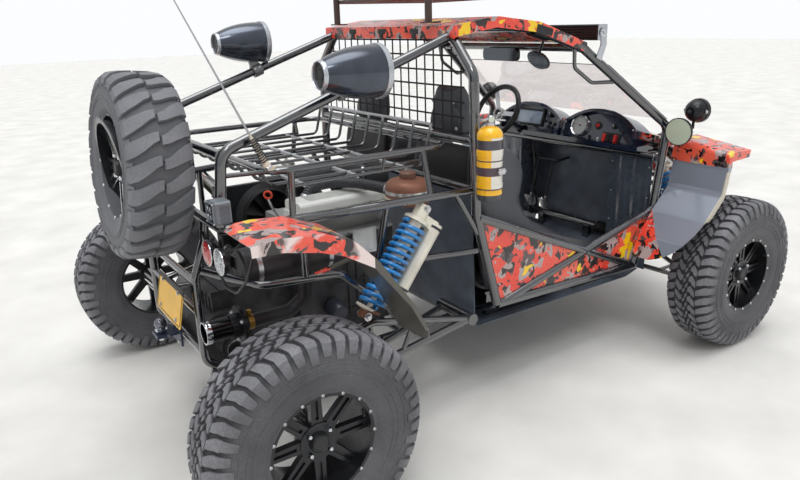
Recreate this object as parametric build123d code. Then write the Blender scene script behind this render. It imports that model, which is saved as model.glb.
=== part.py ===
from build123d import *
from math import asin, cos, hypot, radians, sin
import os

# A two-seat open dune buggy: tubular cage, mud-terrain tyres, rear engine under a cargo rack.
# Millimetres. X points forward, Y to the left, Z up. Stations along X are measured from the
# rear axle; export() moves every piece so that the origin is at the middle of the whole
# object's box, on the ground.

# Driving dimensions
WHEELBASE = 2410
HALF_TRACK = 920
TYRE_RADIUS = 381
TYRE_WIDTH = 245
RIM_RADIUS = 180
AXLE_HEIGHT = TYRE_RADIUS
HALF_CAB = 640
HOOP_X = 950
BELLY_RAIL_Z = 300
BELLY_RAIL_Y = 345
KINGPIN_Y = 765
CAGE_TUBE = 42
FRAME_TUBE = 34
RACK_TUBE = 25
SHEET = 4

pieces = {}


def add(name, *shapes):
    """Keeps one named node, made of solids that do not touch each other."""
    solids = [s for shape in shapes for s in shape.solids()]
    pieces[name] = Compound(solids)


def right_and_left(shape):
    """The shape as built on the right side (minus Y), and its mirror image."""
    return [shape, mirror(shape, about=Plane.XZ)]


def tube(points, diameter, bend=0):
    """A round bar along straight runs, with every corner bent to one radius."""
    if len(points) > 2:
        path = FilletPolyline(*points, radius=bend)
    else:
        path = Line(*points)
    section = Plane(origin=path @ 0, z_dir=path % 0) * Circle(diameter / 2)
    return sweep(section, path=path)


def tube_loop(points, diameter, bend):
    """A round bar round a closed outline, with every corner bent to one radius."""
    path = FilletPolyline(*points, radius=bend, close=True)
    section = Plane(origin=path @ 0, z_dir=path % 0) * Circle(diameter / 2)
    return sweep(section, path=path)


def rod(start, end, diameter):
    """A straight round bar between two points."""
    return tube([start, end], diameter)


def fuse(*shapes):
    """One solid from pieces that run into each other."""
    whole = shapes[0]
    for shape in shapes[1:]:
        whole = whole + shape
    return whole


def side_profile(points, y_low, y_high, rounding=0):
    """A plate or block drawn from the side as X and Z, between two Y stations."""
    outline = make_face(Polyline(*[(x, z) for x, z in points], close=True))
    if rounding:
        outline = fillet(outline.vertices(), rounding)
    # Plane.XZ looks along plus Y from in front, so its normal is minus Y.
    return Plane.XZ * Pos(0, 0, -y_high) * extrude(outline, amount=y_high - y_low)


def cylinder_y(x, y_low, y_high, z, radius):
    """A round bar across the car."""
    return Pos(x, (y_low + y_high) / 2, z) * Rot(90, 0, 0) * Cylinder(radius, y_high - y_low)


def cylinder_x(x_low, x_high, y, z, radius):
    """A round bar along the car."""
    return Pos((x_low + x_high) / 2, y, z) * Rot(0, 90, 0) * Cylinder(radius, x_high - x_low)


def dome_arc(station, radius, rise):
    """Arc of a shallow dome from its rim to its crown on the axis, as station and radius."""
    ball = (radius * radius + rise * rise) / (2 * rise)
    centre = station + rise - ball
    half_angle = asin(radius / ball) / 2
    middle = (centre + ball * cos(half_angle), ball * sin(half_angle))
    return ThreePointArc((station, radius), middle, (station + rise, 0))


def block(x, y, z, size_x, size_y, size_z):
    """A box by its centre and size."""
    return Pos(x, y, z) * Box(size_x, size_y, size_z)


def near(shape, other):
    """Whether the boxes round two shapes meet."""
    box, far = shape.bounding_box(optimal=False), other.bounding_box(optimal=False)
    low = all(a <= b for a, b in zip(tuple(box.min), tuple(far.max)))
    high = all(a >= b for a, b in zip(tuple(box.max), tuple(far.min)))
    return low and high


# Wheels

def tyre(outer_radius, width, bead_radius):
    """Solid carcass turned about Y: bead, bulged sidewall, rounded shoulder, flat crown."""
    half = width / 2
    bead_y = half - 26
    shoulder = outer_radius - 29
    edge = (
        Line((bead_radius, 0), (bead_radius, bead_y))
        + Line((bead_radius, bead_y), (bead_radius + 16, bead_y))
        + ThreePointArc(
            (bead_radius + 16, bead_y),
            ((bead_radius + shoulder) / 2 + 14, half),
            (shoulder, half - 9),
        )
        + ThreePointArc((shoulder, half - 9), (outer_radius - 9, half - 18), (outer_radius, half - 36))
        + Line((outer_radius, half - 36), (outer_radius, 0))
    )
    return revolve(make_face(edge + mirror(edge, about=Plane.XZ)), axis=Axis.Y)


LUG_CIRCLE = 50  # the four wheel nuts stand in recesses at this radius


def rim(bead_radius, half_width, face_y, spokes, spoke_width, hub_radius, bore_radius):
    """Barrel with a flange at each side, a recessed hub and twin-ribbed spokes. Its face looks to minus Y."""
    wall = 6
    lip = 14
    barrel = Polyline(
        (bead_radius - wall, -half_width),
        (bead_radius + lip, -half_width),
        (bead_radius + lip, -half_width + 4),
        (bead_radius - 0.3, -half_width + 4),
        (bead_radius - 0.3, half_width - 4),
        (bead_radius + lip, half_width - 4),
        (bead_radius + lip, half_width),
        (bead_radius - wall, half_width),
        close=True,
    )
    whole = revolve(make_face(barrel), axis=Axis.Y)
    depth = 24
    inner = bead_radius - wall + 2
    for i in range(spokes):
        half = spoke_width / 2
        flank = Polyline(
            (hub_radius - 12, -half - 3), (inner, -half), (inner, half), (hub_radius - 12, half + 3),
            close=True,
        )
        arm = Plane.XZ * extrude(make_face(flank), amount=depth)
        groove = Pos((hub_radius + inner) / 2, -depth, 0) * Box(inner - hub_radius - 24, 16, spoke_width / 3)
        whole = whole + Rot(0, 360 / spokes * i, 0) * Pos(0, -face_y + depth, 0) * (arm - groove)
    hub = cylinder_y(0, -face_y - 3, -face_y + 42, 0, hub_radius)
    whole = whole + hub
    bore = cylinder_y(0, -face_y + 5, -face_y + 60, 0, bore_radius)
    whole = whole - bore
    for i in range(4):
        angle = radians(45 + 90 * i)
        x, z = LUG_CIRCLE * cos(angle), LUG_CIRCLE * sin(angle)
        whole = whole - cylinder_y(x, -face_y - 5, -face_y + 3, z, 8)
    return whole


AXLE_RADIUS = 20
RUNNING_GAP = 0.05
RIM_HALF_WIDTH = TYRE_WIDTH / 2 - 22
WHEEL_FACE = 59
SPARE_RADIUS = 330
SPARE_WIDTH = 222
SPARE_CENTRE = (-242, -190, 1184)
SPARE_TILT = 5

right_tyre = tyre(TYRE_RADIUS, TYRE_WIDTH, RIM_RADIUS)
right_rim = rim(RIM_RADIUS, RIM_HALF_WIDTH, WHEEL_FACE, 8, 36, 66, AXLE_RADIUS + RUNNING_GAP)
wheel_places = {
    "rear_right": (0, -HALF_TRACK),
    "rear_left": (0, HALF_TRACK),
    "front_right": (WHEELBASE, -HALF_TRACK),
    "front_left": (WHEELBASE, HALF_TRACK),
}
for place, (wheel_x, wheel_y) in wheel_places.items():
    turn = Rot(0, 0, 0 if wheel_y < 0 else 180)
    seat = Pos(wheel_x, wheel_y, AXLE_HEIGHT) * turn
    add(f"tyre_{place}", seat * right_tyre)
    add(f"rim_{place}", seat * right_rim)

# The spare is a narrower tyre on a six-spoke rim. It faces backwards and leans back a little.
spare_seat = Pos(*SPARE_CENTRE) * Rot(0, -SPARE_TILT, 0) * Rot(0, 0, -90)
add("spare_tyre", spare_seat * tyre(SPARE_RADIUS, SPARE_WIDTH, RIM_RADIUS - 4))
add("spare_rim", spare_seat * rim(RIM_RADIUS - 4, SPARE_WIDTH / 2 - 22, 62, 6, 44, 60, 30))


# Cage and frame

def at_side(points, side=-1):
    """Turns (x, half width, z) rows into points on one side of the car."""
    return [(x, side * y, z) for x, y, z in points]


# x, half width, z
HOOP_LINE = [(1065, HALF_CAB, 458), (HOOP_X, 634, 872), (HOOP_X, 612, 1440), (HOOP_X + 3, 458, 1605)]
ROOF_LINE = [
    (HOOP_X + 3, 462, 1603),
    (1150, 470, 1628),
    (1400, 482, 1600),
    (1690, 505, 1506),
    (2185, HALF_CAB, 1112),
    (2120, HALF_CAB, 700),
    (1990, HALF_CAB, 425),
]
STAY_LINE = [(HOOP_X, 475, 1588), (-48, 500, 1248), (-78, 505, 1000)]
A_BASE = ROOF_LINE[4]

main_hoop = tube(at_side(HOOP_LINE) + at_side(HOOP_LINE[::-1], 1), CAGE_TUBE, 70)
roof_rail = tube(at_side(ROOF_LINE), CAGE_TUBE, 60) - main_hoop
lower_rail = rod((1065, -HALF_CAB, 458), (1990, -HALF_CAB, 425), CAGE_TUBE)
upper_bar = rod((HOOP_X + 4, -HALF_CAB, 868), (1990, -HALF_CAB, 425), CAGE_TUBE - 4)
diagonal = rod((2120, -HALF_CAB, 700), (1100, -HALF_CAB, 457), CAGE_TUBE - 4)
side_bar = fuse(lower_rail, upper_bar, diagonal) - main_hoop - roof_rail
rear_stay = tube(at_side(STAY_LINE), CAGE_TUBE - 4, 70) - main_hoop

# x, half width, z
BELLY_LINE = [(-110, 300, 372), (60, BELLY_RAIL_Y, BELLY_RAIL_Z), (2420, BELLY_RAIL_Y, BELLY_RAIL_Z),
              (2780, 300, 430)]
belly_rail = tube(at_side(BELLY_LINE), FRAME_TUBE, 90)
ENGINE_RAIL_LINE = [(HOOP_X, 622, 985), (500, 600, 990), (-78, 505, 985)]
engine_rail = tube(at_side(ENGINE_RAIL_LINE), FRAME_TUBE, 120) - main_hoop - rear_stay
MID_RAIL_LINE = [(-105, 330, 790), (30, 545, 770), (340, 560, 748), (640, 440, 480),
                 (760, BELLY_RAIL_Y, BELLY_RAIL_Z)]
mid_rail = tube(at_side(MID_RAIL_LINE), FRAME_TUBE - 4, 60) - belly_rail
post_front = rod((530, -603, 988), (530, -484, 578), FRAME_TUBE - 6)
post_rear = rod((200, -548, 988), (200, -553, 758), FRAME_TUBE - 6)
brace_low = rod((955, -634, 725), (530, -528, 730), 26)
brace_high = rod((955, -634, 800), (850, -617, 988), 26)
engine_side = fuse(engine_rail, mid_rail, post_front, post_rear, brace_low, brace_high)
engine_side = engine_side - belly_rail - rear_stay - main_hoop

# Upright bumper tubes at the back, swept forward under the gearbox.
BUMPER_UPRIGHT = [(-68, 300, 985), (-75, 300, 900), (-128, 300, 760), (-128, 300, 420), (-20, 300, 340)]
bumper_upright = tube(at_side(BUMPER_UPRIGHT), FRAME_TUBE, 60) - belly_rail
bumper_bars = [
    rod((-128, -300, height), (-128, 300, height), FRAME_TUBE - 4) for height in (740, 620, 450)
]
upper_cross = rod((-70, -500, 985), (-70, 500, 985), FRAME_TUBE)
rear_bumper = fuse(*right_and_left(bumper_upright), *bumper_bars, upper_cross)
for cutter in right_and_left(fuse(rear_stay, engine_side, belly_rail)):
    rear_bumper = rear_bumper - cutter

NOSE_LINE = [(2178, HALF_CAB - 4, 1040), (2420, 440, 925), (2740, 330, 800), (2790, 300, 700),
             (2790, 300, 430)]
nose_tube = tube(at_side(NOSE_LINE), FRAME_TUBE, 60)
nose_posts = [rod((x, -BELLY_RAIL_Y, BELLY_RAIL_Z), (x, -y, z), FRAME_TUBE - 4)
              for x, y, z in ((2200, 440, 940), (2600, 368, 850))]
nose_link = rod((2200, -440, 940), (2360, -480, 950), FRAME_TUBE - 4)
nose_side = fuse(nose_tube, nose_link, *nose_posts) - belly_rail - roof_rail

front_bumper_line = [(2790, 300, 620), (2900, 260, 600), (2960, 210, 600)]
front_bumper = tube(at_side(front_bumper_line) + at_side(front_bumper_line[::-1], 1), FRAME_TUBE, 40)
for cutter in right_and_left(nose_side):
    front_bumper = front_bumper - cutter
front_bumper = front_bumper.solids().sort_by(SortBy.VOLUME)[-1]
TOW_EYE = (2958, 0, 558)
TOW_OUTLINE = [(2934, 604), (2934, 560), (2948, 540), (2968, 540), (2982, 560), (2982, 604)]
tow_plate = side_profile(TOW_OUTLINE, -5, 5)
tow_plate = tow_plate - rod((2960, -300, 600), (2960, 300, 600), FRAME_TUBE)
front_bumper = front_bumper + tow_plate - cylinder_y(TOW_EYE[0], -20, 20, TOW_EYE[2], 11)

cage = right_and_left(fuse(roof_rail)) + [main_hoop] + right_and_left(side_bar)
frame_sides = right_and_left(belly_rail) + right_and_left(engine_side) + right_and_left(nose_side)

# Straight tubes across the car: x, half width, z, diameter
CROSS_TABLE = [
    (1400, 482, 1600, 32),
    (1690, 505, 1506, 36),
    (2128, HALF_CAB, 960, 36),
    (HOOP_X, 626, 1180, 34),
    (HOOP_X, 630, 985, 34),
    (60, BELLY_RAIL_Y, BELLY_RAIL_Z + 4, 30),
    (760, BELLY_RAIL_Y, BELLY_RAIL_Z, 30),
    (2230, BELLY_RAIL_Y, BELLY_RAIL_Z, 30),
    (2790, 300, 700, 30),
]
crosses = [rod((x, -half, z), (x, half, z), diameter) for x, half, z, diameter in CROSS_TABLE]
# Outriggers carry the side frames from the belly rails.
OUTRIGGERS = [(1080, 456), (1985, 425)]
for x, z in OUTRIGGERS:
    crosses.append(fuse(
        rod((x, -HALF_CAB, z), (x, -BELLY_RAIL_Y, BELLY_RAIL_Z), 32),
        rod((x, -BELLY_RAIL_Y, BELLY_RAIL_Z), (x, BELLY_RAIL_Y, BELLY_RAIL_Z), 32),
        rod((x, BELLY_RAIL_Y, BELLY_RAIL_Z), (x, HALF_CAB, z), 32),
    ))
cut_crosses = []
for cross in crosses:
    for cutter in cage + frame_sides:
        if near(cross, cutter):
            cross = cross - cutter
    cut_crosses += [s for s in cross.solids() if s.volume > 5000]

add("main_hoop", main_hoop)
add("roof_rails", *right_and_left(roof_rail))
add("side_bars", *right_and_left(side_bar))
add("rear_stays", *right_and_left(rear_stay))
add("belly_rails", *right_and_left(belly_rail))
add("engine_rails", *right_and_left(engine_side))
add("nose_frame", *right_and_left(nose_side))
add("rear_bumper", rear_bumper)
add("front_bumper", front_bumper)
add("cross_tubes", *cut_crosses)

all_tubes = cage + frame_sides + right_and_left(rear_stay) + [rear_bumper, front_bumper] + cut_crosses


def clear_of(shape, *cutters):
    """The shape with the space of its neighbours taken out, and no crumbs left."""
    for cutter in cutters:
        if near(shape, cutter):
            shape = shape - cutter
    biggest = max(s.volume for s in shape.solids())
    return Compound([s for s in shape.solids() if s.volume > 0.02 * biggest])


# Body panels

ROOF_HALF = 520
ROOF_EDGE = [(930, 1622), (1150, 1653), (1400, 1625), (1700, 1528)]  # x, z of the panel's top


def bent_sheet(points, thickness, y_low, y_high, bend=30):
    """A sheet bent along X and Z, between two Y stations; points run along its upper side."""
    path = FilletPolyline(*[(x, z) for x, z in points], radius=bend) if len(points) > 2 else Line(*points)
    sheet = trace(path, thickness)
    return Plane.XZ * Pos(0, 0, -y_high) * extrude(sheet, amount=y_high - y_low)


roof_skin = bent_sheet(ROOF_EDGE, SHEET, -ROOF_HALF, ROOF_HALF, 150)
roof_lips = [
    side_profile(ROOF_EDGE + [(x, z - 42) for x, z in ROOF_EDGE[::-1]], y - 2, y + 2)
    for y in (-ROOF_HALF, ROOF_HALF)
]
roof_back = block(930, 0, 1598, SHEET, 2 * ROOF_HALF, 48)
roof_panel = clear_of(fuse(roof_skin, *roof_lips, roof_back), *all_tubes)
add("roof_panel", roof_panel)

# The hood is a loft between cross-sections: x, half width, crown height, edge height
HOOD_SECTIONS = [
    (2165, 610, 1090, 1062),
    (2440, 540, 1052, 985),
    (2700, 430, 980, 880),
    (2905, 340, 850, 720),
]


def hood_section(x, half, crown, edge, skin=0):
    """Arched cross-section of the hood in the plane across the car at station x."""
    half = half - skin
    crown = crown - skin
    line = Polyline((-half, edge), (-half, edge - 30), (half, edge - 30), (half, edge))
    arch = ThreePointArc((half, edge), (0, crown), (-half, edge))
    return Plane(origin=(x, 0, 0), x_dir=(0, 1, 0), z_dir=(1, 0, 0)) * make_face(line + arch)


hood_outer = loft([hood_section(*row) for row in HOOD_SECTIONS], ruled=True)
hood_inner = loft(
    [hood_section(x, half, crown, edge - 40, 5) for x, half, crown, edge in
     [(2150, 613, 1092, 1064)] + HOOD_SECTIONS[1:3] + [(2898, 342, 854, 724)]],
    ruled=True,
)
hood = hood_outer - hood_inner
for cutter in all_tubes:
    hood = hood - cutter
hood = max(hood.solids(), key=lambda s: s.volume)

# Side panels fill the triangles of the side frame, flush with the middle of its tubes.
PANEL_OUTLINE = [(HOOP_X + 8, 868), (1734, 590), (2120, 700), (1990, 425), (1065, 458)]
side_panel = side_profile(PANEL_OUTLINE, -HALF_CAB - 2, -HALF_CAB + 2)
side_panel = clear_of(side_panel, side_bar, roof_rail, main_hoop, *cut_crosses)
add("side_panels", *right_and_left(side_panel))

# Fenders are bent sheets, each with a skirt along its outer edge. Rows are x, z and the depth of
# the skirt there. The front one is a flap behind the wheel with a tilted cap bent over its top.
FRONT_FLAP = [
    (1945, 495, 12), (1993, 600, 22), (2078, 700, 25), (2195, 815, 25), (2222, 945, 25), (2223, 985, 25),
]
FRONT_CAP = [(2218, 934, 26), (2225, 1032, 50), (2400, 1028, 34)]
REAR_FENDER = [
    (-140, 1046, 32), (-40, 1052, 42), (95, 1040, 58), (195, 1000, 56),
    (290, 905, 24), (422, 723, 14), (528, 522, 8),
]
FRONT_EDGES = (668, 962)
REAR_EDGES = (668, 925)
CAP_TILT = 8


def fender(rows, edges, bend):
    """Bent sheet between its inner and outer edge, with the skirt below the outer edge."""
    inner, outer = edges
    line = [(x, z) for x, z, _ in rows]
    last = len(line) - 1
    below = []
    for i, (x, z, skirt) in enumerate(rows):
        x0, z0 = line[max(i - 1, 0)]
        x1, z1 = line[min(i + 1, last)]
        length = hypot(x1 - x0, z1 - z0)
        below.append((x + (z1 - z0) / length * skirt, z - (x1 - x0) / length * skirt))
    upper = FilletPolyline(*line, radius=bend)
    lower = FilletPolyline(*below, radius=bend / 2)
    outline = make_face(upper + Line(line[-1], below[-1]) + lower + Line(below[0], line[0]))
    skirt_sheet = Plane.XZ * Pos(0, 0, outer - SHEET) * extrude(outline, amount=SHEET)
    return bent_sheet(line, SHEET, -outer, -inner, bend) + skirt_sheet


def corner_cut(arc, x_low, x_high):
    """Everything below and outside an arc in the plane across the car, between two stations."""
    (y0, z0), _, (y1, z1) = arc
    around = Polyline((y1, z1), (y1, z1 - 60), (-1100, z1 - 60), (-1100, z0), (y0, z0))
    face = make_face(ThreePointArc(*arc) + around)
    return Plane.YZ * Pos(0, 0, x_low) * extrude(face, amount=x_high - x_low)


FLAP_CORNER = [(-960, 715), (-882, 560), (-700, 490)]
front_flap = fender(FRONT_FLAP, FRONT_EDGES, 60) - corner_cut(FLAP_CORNER, 1880, 2170)
cap_line = Pos(0, -sum(FRONT_EDGES) / 2, FRONT_CAP[1][1])
front_cap = cap_line * Rot(CAP_TILT, 0, 0) * cap_line.inverse() * fender(FRONT_CAP, FRONT_EDGES, 26)
front_fender = front_flap + front_cap
REAR_CORNER = [(-930, 640), (-888, 560), (-780, 528)]
rear_fender = fender(REAR_FENDER, REAR_EDGES, 60) - corner_cut(REAR_CORNER, 380, 600)
rear_fender = rear_fender - Pos(REAR_FENDER[0][0], -REAR_EDGES[0], 1040) * Rot(0, 0, 45) * Box(72, 72, 60)
FRONT_FENDER_STAYS = [
    ((2092, -HALF_CAB, 640), (2028, -720, 640)),
    ((2172, -HALF_CAB, 1020), (2260, -720, 1041)),
]
REAR_FENDER_STAYS = [((60, -525, 985), (60, -690, 1044)), ((230, -540, 755), (330, -690, 851))]
front_stays = [rod(start, end, 16) for start, end in FRONT_FENDER_STAYS]
rear_stays_low = [rod(start, end, 16) for start, end in REAR_FENDER_STAYS]
front_fender = clear_of(fuse(front_fender, *front_stays), *all_tubes)
rear_fender = clear_of(fuse(rear_fender, *rear_stays_low), *all_tubes)
add("front_fenders", *right_and_left(front_fender))
add("rear_fenders", *right_and_left(rear_fender))

# Cab tub: firewall behind the seats, floor on the belly rails, toe board under the hood
TUB_LINE = [(990, 940), (1010, 330), (2060, 322), (2150, 345)]
TOE_LINE = [(2120, 340), (2290, 420), (2330, 900)]
tub = fuse(bent_sheet(TUB_LINE, 3, -560, 560, 25), bent_sheet(TOE_LINE, 3, -335, 335, 40))
cab_tub = clear_of(tub, *all_tubes)
cab_tub = max(cab_tub.solids(), key=lambda s: s.volume)

# Dashboard: two arched binnacles above one shelf, face tilted up towards the seats
DASH_X = 2128
COLUMN_Y = 300
COLUMN_TILT = 30
WHEEL_CENTRE = (1905, COLUMN_Y, 1127)


def binnacle(y_centre, width, height):
    """Arched instrument housing with a recess behind its rim."""
    half = width / 2
    outline = make_face(
        Polyline((half, 0), (-half, 0), (-half, height * 0.55))
        + ThreePointArc((-half, height * 0.55), (0, height), (half, height * 0.55))
        + Line((half, height * 0.55), (half, 0))
    )
    inner = offset(outline, amount=-16)
    face = Plane(origin=(DASH_X - 30, y_centre, 985), x_dir=(0, -1, 0), z_dir=(-1, 0, 0.35))
    housing = face * extrude(outline, amount=-150)
    recess = face * extrude(inner, amount=-28)
    return housing - recess


dash_shelf = block(DASH_X + 30, 0, 992, 130, 1080, 26)
dashboard = fuse(dash_shelf, binnacle(-255, 480, 195), binnacle(255, 480, 195))
column_axis = Plane(origin=WHEEL_CENTRE, z_dir=(cos(radians(COLUMN_TILT)), 0, -sin(radians(COLUMN_TILT))))
column_hole = column_axis * Pos(0, 0, 190) * Cylinder(30, 380)
dashboard = clear_of(dashboard - column_hole - hood_outer, *all_tubes, cab_tub)
dashboard = max(dashboard.solids(), key=lambda s: s.volume)
add("dashboard", dashboard)

# Bucket seats: the side outline across the full width, with the sitting space cut out of it
SEAT_OUTLINE = [
    (1090, 462), (1560, 440), (1650, 500), (1660, 590), (1560, 660), (1395, 742), (1322, 800), (1268, 900),
    (1316, 1010), (1225, 1122), (1118, 1158), (1120, 1345), (1095, 1388), (1035, 1380), (1012, 1240),
    (1012, 900), (1050, 600),
]
SEAT_HOLLOW = [
    (1740, 605), (1400, 562), (1225, 575), (1160, 640), (1088, 1130), (1140, 1330), (1500, 1300), (1800, 800),
]
SEAT_Y = 320
SEAT_HALF = 245
seat_block = side_profile(SEAT_OUTLINE, -SEAT_HALF, SEAT_HALF, 16)
seat_hollow = side_profile(SEAT_HOLLOW, -SEAT_HALF + 62, SEAT_HALF - 62)
head_trim = [block(1080, y, 1300, 220, 120, 330) for y in (-SEAT_HALF - 5, SEAT_HALF + 5)]
seat = seat_block - seat_hollow - head_trim[0] - head_trim[1]
seat_base = block(1330, 0, 388, 420, 400, 128)
seat = seat + seat_base
seats = [clear_of(Pos(0, y, 0) * seat, *all_tubes, cab_tub) for y in (-SEAT_Y, SEAT_Y)]
add("seats", *[max(whole.solids(), key=lambda s: s.volume) for whole in seats])

# Steering: wheel, column, rack housing, and the rack bar with its ends above the knuckle arms
WHEEL_RING = 158
ring = column_axis * Torus(WHEEL_RING, 15)
boss = column_axis * Pos(0, 0, 28) * Cylinder(34, 40)
arms = [
    column_axis * Rot(0, 0, angle) * Pos(WHEEL_RING / 2, 0, 12) * Rot(0, 6, 0) * Box(WHEEL_RING - 4, 26, 6)
    for angle in (90, 210, 330)
]
add("steering_wheel", fuse(ring, boss, *arms))
RACK_X = 2270
RACK_Z = 470
column_low = column_axis.from_local_coords(Vector(0, 0, 345))
column = column_axis * Pos(0, 0, 55 + 150) * Cylinder(17, 300)
lower_shaft = rod(tuple(column_low), (RACK_X, COLUMN_Y, RACK_Z + 10), 22)
joint_ball = Pos(*tuple(column_low)) * Sphere(24)
rack_bore = cylinder_y(RACK_X, -400, 400, RACK_Z, 10 + 0.06)
rack_housing = cylinder_y(RACK_X, -180, 335, RACK_Z, 26)
rack_feet = [block(RACK_X - 20, y, 390, 30, 40, 160) for y in (-120, 240)]
steering_gear = fuse(column, joint_ball, lower_shaft, rack_housing, *rack_feet) - rack_bore
steering_gear = clear_of(steering_gear, *all_tubes, cab_tub)
cab_tub_hole = Pos(2262, COLUMN_Y, 760) * Cylinder(40, 700)
cab_tub = clear_of(cab_tub - cab_tub_hole, steering_gear)
cab_tub = max(cab_tub.solids(), key=lambda s: s.volume)
add("cab_tub", cab_tub)
add("steering_gear", steering_gear)
rack_bar = cylinder_y(RACK_X, -KINGPIN_Y + 12, KINGPIN_Y - 12, RACK_Z, 10)
rack_eyes = [Pos(RACK_X, y, RACK_Z) * Cylinder(16, 22) for y in (-KINGPIN_Y, KINGPIN_Y)]
add("tie_rods", fuse(rack_bar, *rack_eyes))

# Knuckles: upright, pins for the two arms, stub axle and steering arm
UPRIGHT_LOW, UPRIGHT_HIGH = 290, 498
EYE_GAP = 12
EYE_THICK = 20
PIN_RADIUS = 10


def knuckle():
    """The right front knuckle."""
    middle, height = (UPRIGHT_LOW + UPRIGHT_HIGH) / 2, UPRIGHT_HIGH - UPRIGHT_LOW
    upright = block(WHEELBASE, -KINGPIN_Y, middle, 46, 40, height)
    upright = fillet(upright.edges().filter_by(Axis.Z), 10)
    carrier = cylinder_y(WHEELBASE, -HALF_TRACK - 8, -KINGPIN_Y, AXLE_HEIGHT, 46)
    axle = cylinder_y(WHEELBASE, -HALF_TRACK - WHEEL_FACE + 10, -HALF_TRACK, AXLE_HEIGHT, AXLE_RADIUS)
    pin = Pos(WHEELBASE, -KINGPIN_Y, (UPRIGHT_LOW + UPRIGHT_HIGH) / 2) * Cylinder(
        PIN_RADIUS, UPRIGHT_HIGH - UPRIGHT_LOW + 2 * (EYE_GAP + EYE_THICK))
    arm = Pos(0, -KINGPIN_Y, 443) * side_profile(
        [(RACK_X - 16, -6), (WHEELBASE - 20, -6), (WHEELBASE - 20, 6), (RACK_X - 16, 6)], -15, 15)
    return fuse(upright, carrier, axle, pin, arm)


right_knuckle = knuckle()
add("knuckle_right", right_knuckle)
add("knuckle_left", mirror(right_knuckle, about=Plane.XZ))


def wishbone(x_rear, x_front, y_pivot, z_pivot, z_ball, diameter):
    """Two legs from the frame to the eye round the knuckle's pin."""
    eye = Pos(WHEELBASE, -KINGPIN_Y, z_ball) * Cylinder(24, EYE_THICK)
    foot = (WHEELBASE, -KINGPIN_Y + 12, z_ball)
    legs = [rod((x, -y_pivot, z_pivot), foot, diameter) for x in (x_rear, x_front)]
    brace = rod(
        (WHEELBASE - 70, -(y_pivot + KINGPIN_Y) / 2, (z_pivot + z_ball) / 2),
        (WHEELBASE + 70, -(y_pivot + KINGPIN_Y) / 2, (z_pivot + z_ball) / 2),
        diameter - 6,
    )
    bushes = [cylinder_x(x - 24, x + 24, -y_pivot, z_pivot, 20) for x in (x_rear, x_front)]
    hole = Pos(WHEELBASE, -KINGPIN_Y, z_ball) * Cylinder(PIN_RADIUS + RUNNING_GAP, 60)
    return fuse(*legs, brace, eye, *bushes) - hole


lower_arm = wishbone(2260, 2560, 366, 318, UPRIGHT_LOW - EYE_GAP - EYE_THICK / 2, 26)
upper_arm = wishbone(2300, 2540, 400, 560, UPRIGHT_HIGH + EYE_GAP + EYE_THICK / 2, 24)
arm_set = [clear_of(lower_arm, *all_tubes), clear_of(upper_arm, *all_tubes)]

# Trailing arms: a two-tube truss each side, a bearing carrier and its stub axle
PIVOT_X, PIVOT_Z = 955, 400
carrier = cylinder_y(0, -HALF_TRACK - 8, -690, AXLE_HEIGHT, 52)
stub = cylinder_y(0, -HALF_TRACK - WHEEL_FACE + 10, -HALF_TRACK, AXLE_HEIGHT, AXLE_RADIUS)
truss = [
    rod((PIVOT_X, -590, PIVOT_Z), (0, -705, 350), 34),
    rod((PIVOT_X, -405, PIVOT_Z), (0, -705, 370), 30),
    tube([(PIVOT_X, -590, PIVOT_Z), (420, -625, 545), (0, -705, 420)], 30, 120),
    rod((420, -625, 545), (420, -655, 372), 20),
    rod((640, -612, 488), (560, -640, 380), 20),
    rod((420, -655, 372), (560, -485, 385), 20),
]
pivot_bush = cylinder_y(PIVOT_X, -612, -380, PIVOT_Z, 26)
trailing_arm = clear_of(fuse(*truss, pivot_bush, carrier, stub), *all_tubes)

# Dampers: a body, a rod and an eye at each end, with a coil spring round them
# name, lower eye, upper eye
SHOCKS = {
    "rear": ((400, -612, 566), (712, -600, 955)),
    "front": ((WHEELBASE, -640, 556), (WHEELBASE, -452, 905)),
}


def shock_plane(low, high):
    """A plane at the lower eye, with its normal along the damper and its X direction to the front."""
    axis = Vector(*[b - a for a, b in zip(low, high)]).normalized()
    forward = Vector(1, 0, 0) - axis * Vector(1, 0, 0).dot(axis)
    return Plane(origin=low, z_dir=axis, x_dir=forward)


def shock(low, high, reservoir):
    """Damper body as a turned profile, with spring seats and an eye at each end."""
    length = hypot(*[b - a for a, b in zip(low, high)])
    profile = Polyline(
        (0, 0), (26, 0), (26, 30), (52, 36), (52, 46), (11, 46), (11, length * 0.5),
        (27, length * 0.5), (27, length - 74), (52, length - 74), (52, length - 62), (30, length - 50),
        (30, length), (0, length), close=True,
    )
    turned = revolve(Plane.XZ * make_face(profile), axis=Axis.Z)
    if reservoir:
        can = Pos(92, 0, length * 0.62) * Cylinder(31, length * 0.62)
        neck = Pos(46, 0, length * 0.9) * Box(92, 34, 44)
        turned = turned + can + neck
    return shock_plane(low, high) * turned


def spring(low, high, wire, turns):
    """Coil between the two spring seats."""
    length = hypot(*[b - a for a, b in zip(low, high)])
    span = length - 74 - 46 - wire - 1
    path = Helix(pitch=span / turns, height=span, radius=42)
    section = Plane(origin=path @ 0, z_dir=path % 0) * Circle(wire / 2)
    coil = sweep(section, path=path, is_frenet=True)
    return shock_plane(low, high) * Pos(0, 0, 46 + wire / 2 + 0.5) * coil


shock_bodies, shock_springs = [], []
for end, (low, high) in SHOCKS.items():
    body = clear_of(shock(low, high, end == "rear"), *all_tubes, *arm_set, trailing_arm)
    coil = spring(low, high, 13, 7.5)
    shock_bodies += right_and_left(max(body.solids(), key=lambda s: s.volume))
    shock_springs += right_and_left(coil)

add("front_arms", *right_and_left(arm_set[0]), *right_and_left(arm_set[1]))
add("trailing_arms", *right_and_left(trailing_arm))
add("shock_absorbers", *shock_bodies)
add("shock_springs", *shock_springs)

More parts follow.
